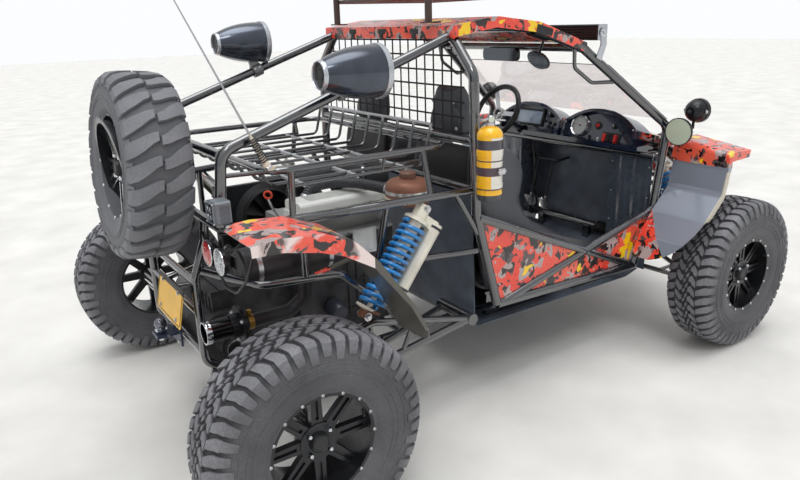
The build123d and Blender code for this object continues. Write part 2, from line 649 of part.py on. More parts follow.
# Engine: block, cam cover, gearbox and the drive shafts
engine = fuse(
    block(560, -20, 560, 480, 420, 440),
    block(560, -20, 810, 440, 250, 80),
    block(150, 0, 480, 360, 300, 300),
    cylinder_y(0, -190, 190, AXLE_HEIGHT + 60, 110),
)
engine = clear_of(engine, *all_tubes)
add("engine_block", engine)
half_shaft = fuse(
    rod((0, -235, AXLE_HEIGHT + 58), (0, -640, AXLE_HEIGHT + 6), 28),
    Pos(0, -236, AXLE_HEIGHT + 58) * Rot(90, 0, 0) * Cone(34, 52, 90),
    Pos(0, -650, AXLE_HEIGHT + 5) * Rot(90, 0, 0) * Cone(50, 30, 78),
)
add("half_shafts", *right_and_left(clear_of(half_shaft, engine, trailing_arm)))


# Cargo rack: a rim on four posts over the engine, with a dished floor of bars below it
RIM_Z = 1170
FLOOR_Z = 1106
FENCE_Z = 1245
RACK_HALF = 560
RACK_REAR, RACK_FRONT = 88, 866
rim_line = [
    (RACK_FRONT, -RACK_HALF, RIM_Z), (RACK_REAR, -RACK_HALF, RIM_Z),
    (RACK_REAR, RACK_HALF, RIM_Z), (RACK_FRONT, RACK_HALF, RIM_Z),
]
rack_rim = tube_loop(rim_line, RACK_TUBE, 75)
rack_posts = [
    rod((736, -RACK_HALF, RIM_Z), (736, -610, 988), 24),
    rod((172, -RACK_HALF, RIM_Z), (172, -546, 988), 24),
    rod((-60, -501, RIM_Z), (120, -RACK_HALF + 20, RIM_Z), 16),
    rod((165, -RACK_HALF + 20, FLOOR_Z), (740, -RACK_HALF + 20, FLOOR_Z), 14),
    rod((172, -RACK_HALF + 20, FLOOR_Z), (172, -RACK_HALF, RIM_Z), 14),
    rod((736, -RACK_HALF + 20, FLOOR_Z), (736, -RACK_HALF, RIM_Z), 14),
    rod((560, -RACK_HALF, RIM_Z), (560, -RACK_HALF + 20, FLOOR_Z), 14),
]
rack_frame = fuse(rack_rim, *[half for post in rack_posts for half in right_and_left(post)])
rack_frame = clear_of(rack_frame, *all_tubes)
add("cargo_rack", rack_frame)

FLOOR_BARS = 9
bar_pitch = 2 * (RACK_HALF - 90) / (FLOOR_BARS - 1)
floor_bars = [
    tube([(RACK_REAR, y, RIM_Z), (RACK_REAR + 40, y, FLOOR_Z), (810, y, FLOOR_Z), (846, y, FENCE_Z)], 13, 32)
    for y in [-RACK_HALF + 90 + bar_pitch * i for i in range(FLOOR_BARS)]
]
floor_crosses = [
    rod((x, -RACK_HALF + 20, FLOOR_Z - 3), (x, RACK_HALF - 20, FLOOR_Z - 3), 16) for x in (230, 450, 670)
]
fence_top = rod((846, -RACK_HALF + 88, FENCE_Z), (846, RACK_HALF - 88, FENCE_Z), 14)
rack_floor = clear_of(fuse(*floor_crosses, fence_top, *floor_bars), rack_frame, *all_tubes)
add("rack_floor", max(rack_floor.solids(), key=lambda s: s.volume))

# Roof basket: a tray of bent hoops between two rims, on two thick posts and two thin legs
BASKET_LOW, BASKET_HIGH = 1742, 1850
BASKET_HALF = 450
BASKET_REAR, BASKET_FRONT = 905, 1560


def loop(x_rear, x_front, half, z, diameter, bend):
    """Closed rectangle of tube with rounded corners, level at one height."""
    line = [(x_front, -half, z), (x_rear, -half, z), (x_rear, half, z), (x_front, half, z)]
    return tube_loop(line, diameter, bend)


basket_top = loop(BASKET_REAR, BASKET_FRONT, BASKET_HALF, BASKET_HIGH, 22, 70)
basket_low = loop(BASKET_REAR + 20, BASKET_FRONT - 20, BASKET_HALF - 20, BASKET_LOW, 16, 60)
hoop_count = 10
hoop_pitch = (BASKET_FRONT - BASKET_REAR - 170) / (hoop_count - 1)
basket_hoops = []
for i in range(hoop_count):
    x = BASKET_REAR + 85 + hoop_pitch * i
    hoop_line = [(x, BASKET_HALF, BASKET_HIGH), (x, BASKET_HALF - 22, BASKET_LOW)]
    basket_hoops.append(tube(at_side(hoop_line) + at_side(hoop_line[::-1], 1), 10, 45))
rear_post = rod((915, -372, 1640), (915, -372, BASKET_HIGH), 30)
front_leg = tube([(1545, -415, BASKET_LOW), (1600, -450, 1725), (1668, -470, 1560)], 12, 30)
basket = fuse(basket_top, basket_low, *basket_hoops, *right_and_left(rear_post), *right_and_left(front_leg))
post_feet = [block(925, y, 1638, 60, 60, 6) for y in (-372, 372)]
basket = clear_of(fuse(basket, *post_feet), *all_tubes, roof_panel)
add("roof_basket", max(basket.solids(), key=lambda s: s.volume))

# Light bar across the front of the roof, on two curved brackets from the side rails
BAR_HALF = 545
light_bar = block(1772, 0, 1572, 62, 2 * BAR_HALF, 70)
light_bar = fillet(light_bar.edges().filter_by(Axis.Y), 8)
fin_cuts = [block(1746, 0, 1572 + dz, 22, 2 * BAR_HALF - 30, 5) for dz in (-24, -12, 0, 12, 24)]
for cut in fin_cuts:
    light_bar = light_bar - cut
BRACKET_OUTLINE = [(1756, 1580), (1790, 1580), (1800, 1520), (1770, 1446), (1735, 1462), (1762, 1520)]
bar_bracket = side_profile(BRACKET_OUTLINE, -BAR_HALF - 5, -BAR_HALF + 1)
light_bar = clear_of(fuse(light_bar, *right_and_left(bar_bracket)), *all_tubes, roof_panel)
add("light_bar", light_bar)

# Windscreen: a flat tinted sheet that leans on the front pillars and ends two thirds of the way up
GLASS_LOW, GLASS_HIGH = 0.04, 0.74
glass_points = []
for share in (GLASS_LOW, GLASS_HIGH):
    x = A_BASE[0] + (ROOF_LINE[3][0] - A_BASE[0]) * share
    y = A_BASE[1] + (ROOF_LINE[3][1] - A_BASE[1]) * share
    z = A_BASE[2] + (ROOF_LINE[3][2] - A_BASE[2]) * share
    glass_points.append((x, y, z))
(x0, y0, z0), (x1, y1, z1) = glass_points
slope = hypot(x1 - x0, z1 - z0)
glass_plane = Plane(origin=(x0 + 16, 0, z0 + 18), x_dir=(0, 1, 0), z_dir=(z1 - z0, 0, x0 - x1))
glass_face = make_face(Polyline((-y0, 0), (y0, 0), (y1, slope), (-y1, slope), close=True))
windscreen = glass_plane * extrude(glass_face, amount=4)
windscreen = clear_of(windscreen, *all_tubes, hood, dashboard)
add("windscreen", max(windscreen.solids(), key=lambda s: s.volume))

# Window net: crossed webbing strips stretched inside the main hoop, behind the seats
NET_X = HOOP_X - 4
NET_LOW, NET_HIGH = 1205, 1580
net_strips = []
for i in range(19):
    y = -540 + 60 * i
    top = min(NET_HIGH, 1430 + (600 - abs(y)) * 0.95)
    net_strips.append(block(NET_X, y, (NET_LOW + top) / 2, 3, 7, top - NET_LOW))
for i in range(7):
    z = NET_LOW + 4 + 60 * i
    half = min(560, 600 - (z - 1430) / 0.95)
    net_strips.append(block(NET_X, 0, z, 3, 2 * half, 7))
window_net = clear_of(fuse(*net_strips), *all_tubes)
add("window_net", max(window_net.solids(), key=lambda s: s.volume))

# Speaker pods: closed bullet cans with a ring in front, clamped on the rear stays
POD_CENTRE = (452, -548, 1518)


pod_shape = make_face(
    Polyline((-148, 0), (-148, 62), (-140, 68))
    + Spline((-140, 68), (-60, 104), (30, 122), (112, 126))
    + Polyline((112, 126), (112, 132), (150, 132), (156, 126), (156, 108), (128, 98), (128, 0), (-148, 0))
)
pod = Pos(*POD_CENTRE) * Rot(0, 1, 0) * revolve(pod_shape, axis=Axis.X)
pod_clamp = Pos(430, -492, 1400) * Rot(0, -18.5, 0) * fuse(
    Rot(0, 90, 0) * Cylinder(30, 46), Pos(0, -14, 50) * Box(36, 12, 70))
pods = [clear_of(shape, *all_tubes) for shape in right_and_left(fuse(pod, pod_clamp))]
add("speaker_pods", *pods)


# Fire extinguisher: a domed bottle strapped outside the main hoop, with its valve and levers
BOTTLE_X, BOTTLE_Y = 948, -712
bottle_half = make_face(
    Polyline((0, 962), (44, 962), (51, 970), (51, 1212))
    + ThreePointArc((51, 1212), (38, 1243), (18, 1252))
    + Polyline((18, 1252), (18, 1266), (12, 1270), (12, 1292), (0, 1292), (0, 962))
)
bottle = Pos(BOTTLE_X, BOTTLE_Y, 0) * revolve(Plane.XZ * bottle_half, axis=Axis.Z)
valve = [
    Pos(BOTTLE_X, BOTTLE_Y, 1290) * Rot(0, -14, 0) * Pos(30, 0, 8) * Box(92, 16, 6),
    Pos(BOTTLE_X, BOTTLE_Y, 1278) * Rot(0, 8, 0) * Pos(32, 0, 0) * Box(84, 16, 5),
    Pos(BOTTLE_X - 24, BOTTLE_Y, 1278) * Rot(0, 90, 0) * Cylinder(6, 40),
]
straps = [
    Pos(BOTTLE_X, BOTTLE_Y, z) * (Cylinder(53, 22) - Cylinder(50.5, 30)) for z in (1020, 1150)
]
arm_middle, arm_length = (BOTTLE_Y - HALF_CAB) / 2 + 16, -BOTTLE_Y - HALF_CAB - 18
strap_arms = [block(BOTTLE_X, arm_middle, z, 22, arm_length, 22) for z in (1020, 1150)]
extinguisher = fuse(bottle, *valve, *straps, *strap_arms)
extinguisher = clear_of(extinguisher, *all_tubes)
add("fire_extinguisher", max(extinguisher.solids(), key=lambda s: s.volume))

# Antenna: a tapered spring base on the corner of the rack and a whip that leans back
ANTENNA_FOOT = (96, -548, 1182)
ANTENNA_TIP = (-330, -548, 2105)
lean = tuple(b - a for a, b in zip(ANTENNA_FOOT, ANTENNA_TIP))
whip_length = hypot(*lean)
whip = revolve(Plane.XZ * make_face(Polyline(
    (0, 0), (14, 0), (14, 18), (10, 24), (10, 50), (7, 60), (7, 118), (4, 128), (2.2, 600),
    (1.6, whip_length),
    (0, whip_length), close=True,
)), axis=Axis.Z)
antenna = Plane(origin=ANTENNA_FOOT, z_dir=lean) * whip
antenna = clear_of(fuse(antenna, Pos(102, -542, 1183) * Cylinder(20, 12)), *all_tubes, rack_floor, rack_frame)
add("antenna", max(antenna.solids(), key=lambda s: s.volume))

# Lamps. In front: two round lamps in the hood, a spot lamp on each pillar base. Behind: red and clear
# pairs on the end of the engine rails, and a small cube work lamp on the right.


def lamp(length, radius, rim):
    """A round lamp facing plus X: domed back, rim in front and a shallow lens."""
    outline = make_face(
        Polyline((0, 0), (0, radius * 0.42))
        + ThreePointArc((0, radius * 0.42), (length * 0.3, radius * 0.86), (length * 0.7, radius))
        + Polyline((length * 0.7, radius), (length * 0.72, radius + rim), (length, radius + rim))
        + Line((length, radius + rim), (length, radius))
        + dome_arc(length, radius, radius * 0.2)
        + Line((length + radius * 0.2, 0), (0, 0))
    )
    return revolve(outline, axis=Axis.X)


headlamp = Pos(2630, -262, 905) * Rot(0, 4, 0) * lamp(150, 78, 5)
spot = Pos(2190, -752, 1192) * lamp(82, 54, 4)
spot_bracket = fuse(
    rod((2226, -752, 1150), (2226, -752, 1108), 14), rod((2226, -752, 1110), (2190, -HALF_CAB - 6, 1106), 14))
nose_hole = Pos(2770, -262, 898) * Rot(0, 94, 0) * Cylinder(87, 330)
hood = max(hood.solids(), key=lambda s: s.volume)
for hole in right_and_left(nose_hole):
    hood = hood - hole
hood = max(hood.solids(), key=lambda s: s.volume)
add("hood", hood)
lamp_stalk = rod((2650, -262, 905), (2650, -352, 838), 14)
front_lamps = [clear_of(shape, *all_tubes, hood, *front_fender.solids())
               for shape in (fuse(headlamp, lamp_stalk), fuse(spot, spot_bracket))]
front_lamps = [max(shape.solids(), key=lambda s: s.volume) for shape in front_lamps]
add("front_lamps", *[s for shape in front_lamps for s in right_and_left(shape)])

REAR_LAMPS = [(-84, -470, 905, 44), (-84, -586, 905, 44)]
rear_lamps = [Pos(x, y, z) * Rot(0, 0, 180) * lamp(40, radius, 3) for x, y, z, radius in REAR_LAMPS]
lamp_plate = fuse(block(-84, -528, 905, 6, 210, 40), block(-81, -500, 945, 6, 30, 60))
rear_lamp_pair = clear_of(fuse(*rear_lamps, lamp_plate), *all_tubes)
work_lamp = fillet(block(-98, -572, 1072, 52, 76, 76).edges().filter_by(Axis.X), 8)
work_arm = rod((-88, -560, 1040), (-78, -505, 1012), 14)
work_lamp = clear_of(fuse(work_lamp, work_arm), *all_tubes, rear_lamp_pair)
add("rear_lamps", *right_and_left(max(rear_lamp_pair.solids(), key=lambda s: s.volume)),
    max(work_lamp.solids(), key=lambda s: s.volume))

# The lamps' wiring hangs in one loop between the fender and the bumper upright.
LEAD_LINE = [
    (-62, 812, 1060), (-88, 735, 880), (-96, 650, 806), (-100, 560, 800), (-98, 430, 880), (-80, 300, 940),
]
leads = clear_of(tube(at_side(LEAD_LINE), 10, 55), *all_tubes, rear_fender, rear_lamp_pair)
add("lamp_leads", *right_and_left(max(leads.solids(), key=lambda s: s.volume)))

# Mirrors: a round one outside on the right pillar, one under the roof, an oval one on the right rail
round_mirror = Pos(2152, -728, 1098) * Rot(0, 0, 8) * fuse(
    Rot(0, 90, 0) * Cylinder(66, 14), Pos(12, 0, 0) * Rot(0, 90, 0) * Cone(40, 20, 20))
mirror_stalk = rod((2168, -728, 1098), (2176, -HALF_CAB - 8, 1090), 12)
outer_mirror = clear_of(fuse(round_mirror, mirror_stalk), *all_tubes, *front_lamps)
inner_mirror = fuse(
    fillet(block(1655, 0, 1470, 26, 250, 62).edges().filter_by(Axis.X), 22),
    rod((1662, 0, 1485), (1688, 0, 1506), 12))
oval = Pos(1478, -430, 1462) * Rot(0, 90, 20) * extrude(Ellipse(34, 66), amount=16)
oval_foot = Pos(1424, -490, 1592) * Rot(0, 104, 0) * Cylinder(36, 96)
oval_stalk = fuse(rod((1484, -430, 1480), (1462, -486, 1560), 12), oval_foot)
oval_mirror = clear_of(fuse(oval, oval_stalk), *all_tubes, roof_panel)
mirrors = [max(clear_of(shape, *all_tubes).solids(), key=lambda s: s.volume)
           for shape in (outer_mirror, inner_mirror, oval_mirror)]
add("mirrors", *mirrors)

# Grab handles inside the front pillars
grab = tube([(1640, -500, 1530), (1655, -492, 1420), (1770, -500, 1345), (1895, -560, 1345)], 18, 35)
grabs = [clear_of(shape, *all_tubes, *mirrors) for shape in right_and_left(grab)]
add("grab_handles", *[max(shape.solids(), key=lambda s: s.volume) for shape in grabs])

# Controls on the floor
pedal_rows = [(150, 70), (270, 70), (400, 60)]  # y, pad width
pedals = []
for y, width in pedal_rows:
    pad = Pos(2170, y, 560) * Rot(0, -24, 0) * Box(10, width, 90)
    stem = rod((2174, y, 590), (2236, y, 820), 14)
    pedals.append(fuse(pad, stem))
pedal_tube = rod((2236, 110, 820), (2236, 440, 820), 20)
pedal_ends = [rod((2236, 110, 820), (2326, 110, 830), 16)]
pedal_box = clear_of(fuse(pedal_tube, *pedals, *pedal_ends), *all_tubes, cab_tub, steering_gear, dashboard)
add("pedals", max(pedal_box.solids(), key=lambda s: s.volume))
gaiter = Pos(1560, 0, 362) * Cone(58, 16, 70)
lever = tube([(1560, 0, 380), (1552, 0, 520), (1530, 0, 640)], 12, 60)
shift_lever = fuse(block(1560, 0, 328, 180, 120, 8), gaiter, lever,
                   Pos(1530, 0, 655) * Sphere(24))
add("shift_lever", clear_of(shift_lever, *all_tubes, cab_tub))

# Spare wheel carrier: a plate on the hub, on struts from the rear cross tubes
carrier = fuse(
    spare_seat * cylinder_y(0, -17, 26, 0, 58),
    rod((-215, -190, 1184), (-66, -190, 1235), 30),
    rod((-215, -190, 1184), (-70, -190, 990), 30),
    rod((-50, -500, 1240), (-50, 500, 1240), 34),
)
carrier = clear_of(
    carrier, *all_tubes, pieces["spare_rim"], pieces["spare_tyre"], rack_frame, rack_floor, antenna)
add("spare_carrier", max(carrier.solids(), key=lambda s: s.volume))

# Number plate and tow ball
plate = Pos(-196, -170, 655) * Rot(0, 12, 0) * fillet(Box(2.5, 300, 150).edges().filter_by(Axis.X), 8)
plate_stay = fuse(block(-160, -170, 640, 60, 40, 6))
plate_set = clear_of(fuse(plate, plate_stay), *all_tubes)
add("number_plate", max(plate_set.solids(), key=lambda s: s.volume))
BALL = (-206, 0, 492)
hitch = fuse(
    Pos(*BALL) * Sphere(25), Pos(BALL[0], 0, BALL[2] - 32) * Cylinder(14, 40),
    block(-186, 0, 446, 96, 76, 12), block(-143, 0, 446, 8, 120, 110),
)
hitch = clear_of(hitch, *all_tubes)
add("tow_hitch", max(hitch.solids(), key=lambda s: s.volume))

# Exhaust: manifold pipe down from the block, a silencer box and a wide straight tip on the right
silencer = fillet(cylinder_x(-10, 395, -440, 812, 72).edges(), 14)
tip = cylinder_x(-150, 0, -420, 590, 41)
flange = fuse(cylinder_x(-26, -16, -420, 590, 72), cylinder_x(-60, -26, -420, 590, 46))
lower_pipe = tube([(-20, -420, 590), (190, -420, 590), (250, -432, 640), (250, -440, 780)], 54, 40)
down_pipe = tube([(380, -225, 700), (380, -330, 760), (380, -440, 812)], 44, 50)
exhaust = fuse(silencer, tip, flange, lower_pipe, down_pipe) - cylinder_x(-170, -10, -420, 590, 37)
exhaust = clear_of(exhaust, *all_tubes, engine, *pieces["half_shafts"].solids(), trailing_arm)
add("exhaust", max(exhaust.solids(), key=lambda s: s.volume))

# On top of the engine: cam cover, air hose, coolant tank
cam = fillet(block(590, -110, 905, 430, 150, 52).edges().filter_by(Axis.X), 20)
cam = fuse(cam, block(590, -110, 866, 440, 170, 32))
hose = tube([(480, 60, 862), (460, 70, 960), (640, 20, 985), (790, -60, 985)], 62, 60)
tank = Pos(770, -405, 0) * revolve(Plane.XZ * make_face(
    Polyline((0, 920), (88, 920), (96, 930), (96, 985))
    + ThreePointArc((96, 985), (88, 1008), (66, 1019))
    + Polyline((66, 1019), (30, 1024), (30, 1034), (0, 1034), (0, 920))), axis=Axis.Z)
tank_shelf = block(740, -470, 914, 120, 200, 8)
intake = [max(clear_of(shape, *all_tubes, engine, rack_frame, rack_floor, *shock_bodies).solids(),
              key=lambda s: s.volume) for shape in (cam, fuse(tank, tank_shelf))]
hose = clear_of(hose, *all_tubes, engine, intake[0], rack_floor, rack_frame)
add("intake_parts", *intake, max(hose.solids(), key=lambda s: s.volume))


def export():
    """Writes every node, moved so that the origin is at the middle of the box on the ground."""
    os.makedirs("parts", exist_ok=True)
    whole = Compound([s for piece in pieces.values() for s in piece.solids()])
    box = whole.bounding_box()
    shift = Pos(-(box.min.X + box.max.X) / 2, -(box.min.Y + box.max.Y) / 2, -box.min.Z)
    print("shift", shift.position, "size", box.size)
    for old in os.listdir("parts"):
        if old.endswith(".step") and old[:-5] not in pieces:
            os.remove(os.path.join("parts", old))
    for name, piece in pieces.items():
        export_step(shift * piece, f"parts/{name}.step")


export()
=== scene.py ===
import functools
import math

import bmesh
import bpy
import numpy as np
from mathutils import Matrix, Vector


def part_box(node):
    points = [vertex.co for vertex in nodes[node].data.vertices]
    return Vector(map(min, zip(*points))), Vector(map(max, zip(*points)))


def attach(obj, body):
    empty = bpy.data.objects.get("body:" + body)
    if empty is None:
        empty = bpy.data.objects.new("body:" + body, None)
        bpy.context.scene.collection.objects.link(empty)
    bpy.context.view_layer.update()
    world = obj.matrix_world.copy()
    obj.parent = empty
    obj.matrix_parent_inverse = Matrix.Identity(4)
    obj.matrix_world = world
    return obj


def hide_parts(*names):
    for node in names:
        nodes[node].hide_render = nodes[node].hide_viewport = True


# A two-seat dune buggy. X points forward, Y to the left, Z up, in metres.
# Stations are measured along X from the rear axle, as the CAD source has them.

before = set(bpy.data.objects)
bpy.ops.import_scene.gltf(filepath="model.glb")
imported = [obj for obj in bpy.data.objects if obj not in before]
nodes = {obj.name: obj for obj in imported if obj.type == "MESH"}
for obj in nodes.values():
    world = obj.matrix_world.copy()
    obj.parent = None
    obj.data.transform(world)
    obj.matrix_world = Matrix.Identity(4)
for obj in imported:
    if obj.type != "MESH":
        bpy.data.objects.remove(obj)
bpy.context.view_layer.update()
scene = bpy.context.scene


def middle(node):
    """Centre of a CAD node's box."""
    return np.array(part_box(node)).mean(0)


tyre_box = np.array(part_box("tyre_rear_right"))
REAR_AXLE_X = middle("tyre_rear_right")[0]
TYRE_HALF, TYRE_RADIUS = (tyre_box[1] - tyre_box[0])[1:] / 2
SEAT_Y = 0.320
SIDES = ((-1, "right"), (1, "left"))
AHEAD, BACK, UP = np.array([1.0, 0, 0]), np.array([-1.0, 0, 0]), np.array([0, 0, 1.0])


def at(x, y, z):
    """A point given by its station from the rear axle."""
    return np.array([x + REAR_AXLE_X, y, z], float)


def spots(x, y, z):
    """Points at every combination of the stations given."""
    return np.stack(np.meshgrid(x, y, z, indexing="ij"), -1).reshape(-1, 3) + (REAR_AXLE_X, 0, 0)


# Shapes. A part is a pair: an array of points and an array of four-cornered faces.


def unit(v):
    """A vector, or each row of an array, divided by its length."""
    v = np.asarray(v, float)
    return v / np.linalg.norm(v, axis=-1, keepdims=True)


def facing(axis, level=(0, 0, 1)):
    """Turning matrix whose third column points along axis and whose first is square to axis and to level."""
    z = unit(axis)
    x = unit(np.cross(level, z))
    return np.stack([x, np.cross(z, x), z], axis=1)


def spins(angle):
    """Turning matrices about Z, one for each angle."""
    c, s, o = np.cos(angle), np.sin(angle), 0 * angle
    return np.stack([c, -s, o, s, c, o, o, o, o + 1], axis=-1).reshape(-1, 3, 3)


def angles(count, start=0.0):
    """Even angles all the way round."""
    return np.linspace(0, 2 * np.pi, count, endpoint=False) + start


def about_x(radius, angle):
    """Points on a circle about X."""
    return np.stack([0 * angle, np.cos(angle) * radius, np.sin(angle) * radius], axis=-1)


def about_y(radius, angle):
    """Points on a circle about Y."""
    return np.stack([np.cos(angle) * radius, 0 * angle, np.sin(angle) * radius], axis=-1)


def about_z(radius, angle, height=0.0):
    """Points on a circle about Z at a height."""
    return np.stack([np.cos(angle) * radius, np.sin(angle) * radius, 0 * angle + height], axis=-1)


def moved(part, origin=(0, 0, 0), turn=None):
    """A part turned by a matrix and carried to origin."""
    points, faces = part
    if turn is not None:
        points = points @ np.asarray(turn).T
    return points + np.asarray(origin, float), faces


def gathered(*parts):
    """Several parts as one, their faces counted on from each other's points."""
    starts = np.cumsum([0] + [len(points) for points, _ in parts[:-1]])
    return (np.concatenate([points for points, _ in parts]),
            np.concatenate([faces + start for (_, faces), start in zip(parts, starts)]))


def copies(part, origins, turns=None):
    """The part at every origin, each turned by its own matrix, or all by one, where turns are given."""
    points, faces = part
    origins = np.asarray(origins, float).reshape(-1, 3)
    spread = np.broadcast_to(points, (len(origins), *points.shape))
    if turns is not None:
        turns = np.broadcast_to(turns, (len(origins), 3, 3))
        spread = np.einsum("kij,knj->kni", turns, spread)
    steps = (np.arange(len(origins)) * len(points))[:, None, None]
    return (spread + origins[:, None]).reshape(-1, 3), (faces[None] + steps).reshape(-1, 4)


def mirrored(part):
    """The part on the other side of the car, its faces wound the other way round."""
    points, faces = part
    return points * (1, -1, 1), faces[:, ::-1]


def both_sides(*parts):
    """The parts and their mirror images as one."""
    return gathered(*parts, *[mirrored(part) for part in parts])


def grid(points, wrap_rows=False, wrap_columns=False):
    """Quads between the rows and columns of an array of points, joined round where a side wraps."""
    rows, columns = points.shape[:2]
    r, c = np.meshgrid(np.arange(rows if wrap_rows else rows - 1),
                       np.arange(columns if wrap_columns else columns - 1), indexing="ij")
    r1, c1 = (r + 1) % rows, (c + 1) % columns
    corners = [r * columns + c, r * columns + c1, r1 * columns + c1, r1 * columns + c]
    return points.reshape(-1, 3), np.stack(corners, axis=-1).reshape(-1, 4)


def skin(*coordinates):
    """A grid from arrays of x, y and z that are spread over each other, joined round its columns."""
    return grid(np.stack(np.broadcast_arrays(*coordinates), axis=-1), wrap_columns=True)


def turned(profile, sides=32, closed=False):
    """A profile of (height, radius) rows turned about Z: each row is a circle of that radius at that height. A closed
    profile joins its last row to its first."""
    height, radius = np.asarray(profile, float).T
    ring = about_z(radius[:, None], angles(sides)[None], height[:, None])
    return grid(ring, wrap_rows=closed, wrap_columns=True)


def fluted(part, low, high, depth, wave):
    """A turned part whose radius is scaled by 1 + depth * wave(angle) between two heights."""
    points, faces = part
    held = (points[:, 2] > low) & (points[:, 2] < high)
    points[:, :2] *= (1 + depth * held * wave(np.arctan2(points[:, 1], points[:, 0])))[:, None]
    return points, faces


def waves(count):
    """A cosine from 0 to 1 that goes round count times."""
    return lambda angle: 0.5 + 0.5 * np.cos(count * angle)


def smooth_line(points, steps=8):
    """A curve through the points: in each span a cubic whose slopes are half the chord between the neighbours."""
    p = np.asarray(points, float)
    p = np.concatenate([2 * p[:1] - p[1:2], p, 2 * p[-1:] - p[-2:-1]])
    t = np.linspace(0, 1, steps, endpoint=False)[None, :, None]
    a, b, c, d = p[:-3, None], p[1:-2, None], p[2:-1, None], p[3:, None]
    curve = 0.5 * (2 * b + (c - a) * t + (2 * a - 5 * b + 4 * c - d) * t**2 + (3 * b - a - 3 * c + d) * t**3)
    return np.concatenate([curve.reshape(-1, p.shape[1]), p[-2:-1]])


def route(*stations, steps=8):
    """A smooth line through stations."""
    return smooth_line([at(*s) for s in stations], steps)


def lengths(line):
    """How far along a line each of its points is."""
    return np.concatenate([[0], np.cumsum(np.linalg.norm(np.diff(line, axis=0), axis=1))])


def tube(path, radius, sides=12, closed=False, level=None, flat=1.0):
    """A round section carried along a path: its plane holds level and the cross product of level and the path."""
    path = np.asarray(path, float)
    ahead = np.roll(path, -1, axis=0) - np.roll(path, 1, axis=0) if closed else np.gradient(path, axis=0)
    if level is None:
        level = np.linalg.svd(path - path.mean(0), full_matrices=True)[2][-1]
    side = unit(np.cross(unit(ahead), level))
    other = np.cross(side, unit(ahead))
    angle = np.linspace(0, 2 * np.pi, sides, endpoint=False)
    radius = np.broadcast_to(radius, len(path))[:, None, None]
    ring = np.cos(angle)[None, :, None] * side[:, None] + flat * np.sin(angle)[None, :, None] * other[:, None]
    points = path[:, None] + radius * ring
    if not closed:
        ends = [np.repeat(path[k:k + 1, None], sides, axis=1) for k in (0, len(path) - 1)]
        points = np.concatenate([ends[0], points, ends[1]])
    return grid(points, wrap_rows=closed, wrap_columns=True)


def bar(start, end, radius, sides=16):
    """A straight round bar between two points, closed at both ends."""
    return tube(np.linspace(start, end, 3), radius, sides)


def bars(pairs, radius):
    """Straight round bars between pairs of stations."""
    return gathered(*[bar(at(*start), at(*end), radius) for start, end in pairs])


def hoop(centre, axis, radius, thick, steps=48, sides=10):
    """A ring of round section about an axis."""
    turn = facing(axis) if abs(unit(axis)[2]) < 0.9 else facing(axis, (1, 0, 0))
    return tube(about_z(radius, angles(steps)) @ turn.T + np.asarray(centre), thick, sides, True, turn[:, 2])


def coil(start, end, radius, wire, turns, per_turn=20, sides=10):
    """A wire wound round the line from start to end: it goes round turns times while it moves along."""
    turn = facing(end - start, (0, 1, 0.3))
    t = np.linspace(0, 1, int(turns * per_turn) + 1)
    winding = about_z(radius, 2 * np.pi * turns * t, t * np.linalg.norm(end - start))
    return tube(winding @ turn.T + start, wire, sides, False, turn[:, 2])


def band(centre, axis, radius, width, thick, sides=48):
    """A flat strap round an axis: a rectangle of width by thick carried round a circle."""
    rows = [(-width / 2, radius), (-width / 2, radius + thick), (width / 2, radius + thick), (width / 2, radius)]
    level = (1, 0, 0) if abs(unit(axis)[2]) > 0.9 else (0, 0, 1)
    return moved(turned(rows, sides, True), centre, facing(axis, level))


def clamps(path, places, step, radius, width, thick):
    """Flat straps round a hose at points of its path, each square to the points a step before and after."""
    return gathered(*[band(path[k], path[k + step] - path[k - step], radius, width, thick) for k in places])


def ribbed_hose(line, ribs, radius, depth, sides):
    """A hose along a line whose radius grows by depth * |sin| at each rib, with the even path that it follows."""
    run = lengths(line)
    even = np.linspace(0, run[-1], ribs * 5 + 1)
    path = np.stack([np.interp(even, run, line[:, k]) for k in range(3)], axis=-1)
    return tube(path, radius + depth * np.abs(np.sin(np.pi * ribs * even / run[-1])), sides), path


def bellows(start, end, low, high, depth, ribs, sides=32):
    """A ribbed boot between two stations: its radius goes from low to high, and each rib adds depth * |sin|."""
    start, end = at(*start), at(*end)
    t = np.linspace(0, 1, ribs * 6 + 1)
    radius = low + (high - low) * t + depth * np.abs(np.sin(np.pi * ribs * t))
    height = t * np.linalg.norm(end - start)
    profile = np.concatenate([[[0, 0]], np.stack([height, radius], axis=-1), [[height[-1], 0]]])
    return moved(turned(profile, sides), start, facing(end - start, (0.1, 0.2, 1)))


def weld(centre, axis, along, radius, around, bead=0.0032):
    """The bead where a tube meets a thicker one: at each angle it stands off by sqrt(around^2 - (radius sin)^2), and
    its thickness rises and falls as the welder's steps do."""
    axis, along = unit(axis), unit(along)
    angle = angles(72)
    back = np.sqrt(np.maximum(around**2 - (radius * np.sin(angle)) ** 2, 0))
    round_ = np.cos(angle)[:, None] * along + np.sin(angle)[:, None] * np.cross(axis, along)
    path = np.asarray(centre) - axis * back[:, None] + radius * round_
    return tube(path, bead * (1 + 0.22 * np.sin(angle * 18)), 6, True, axis)


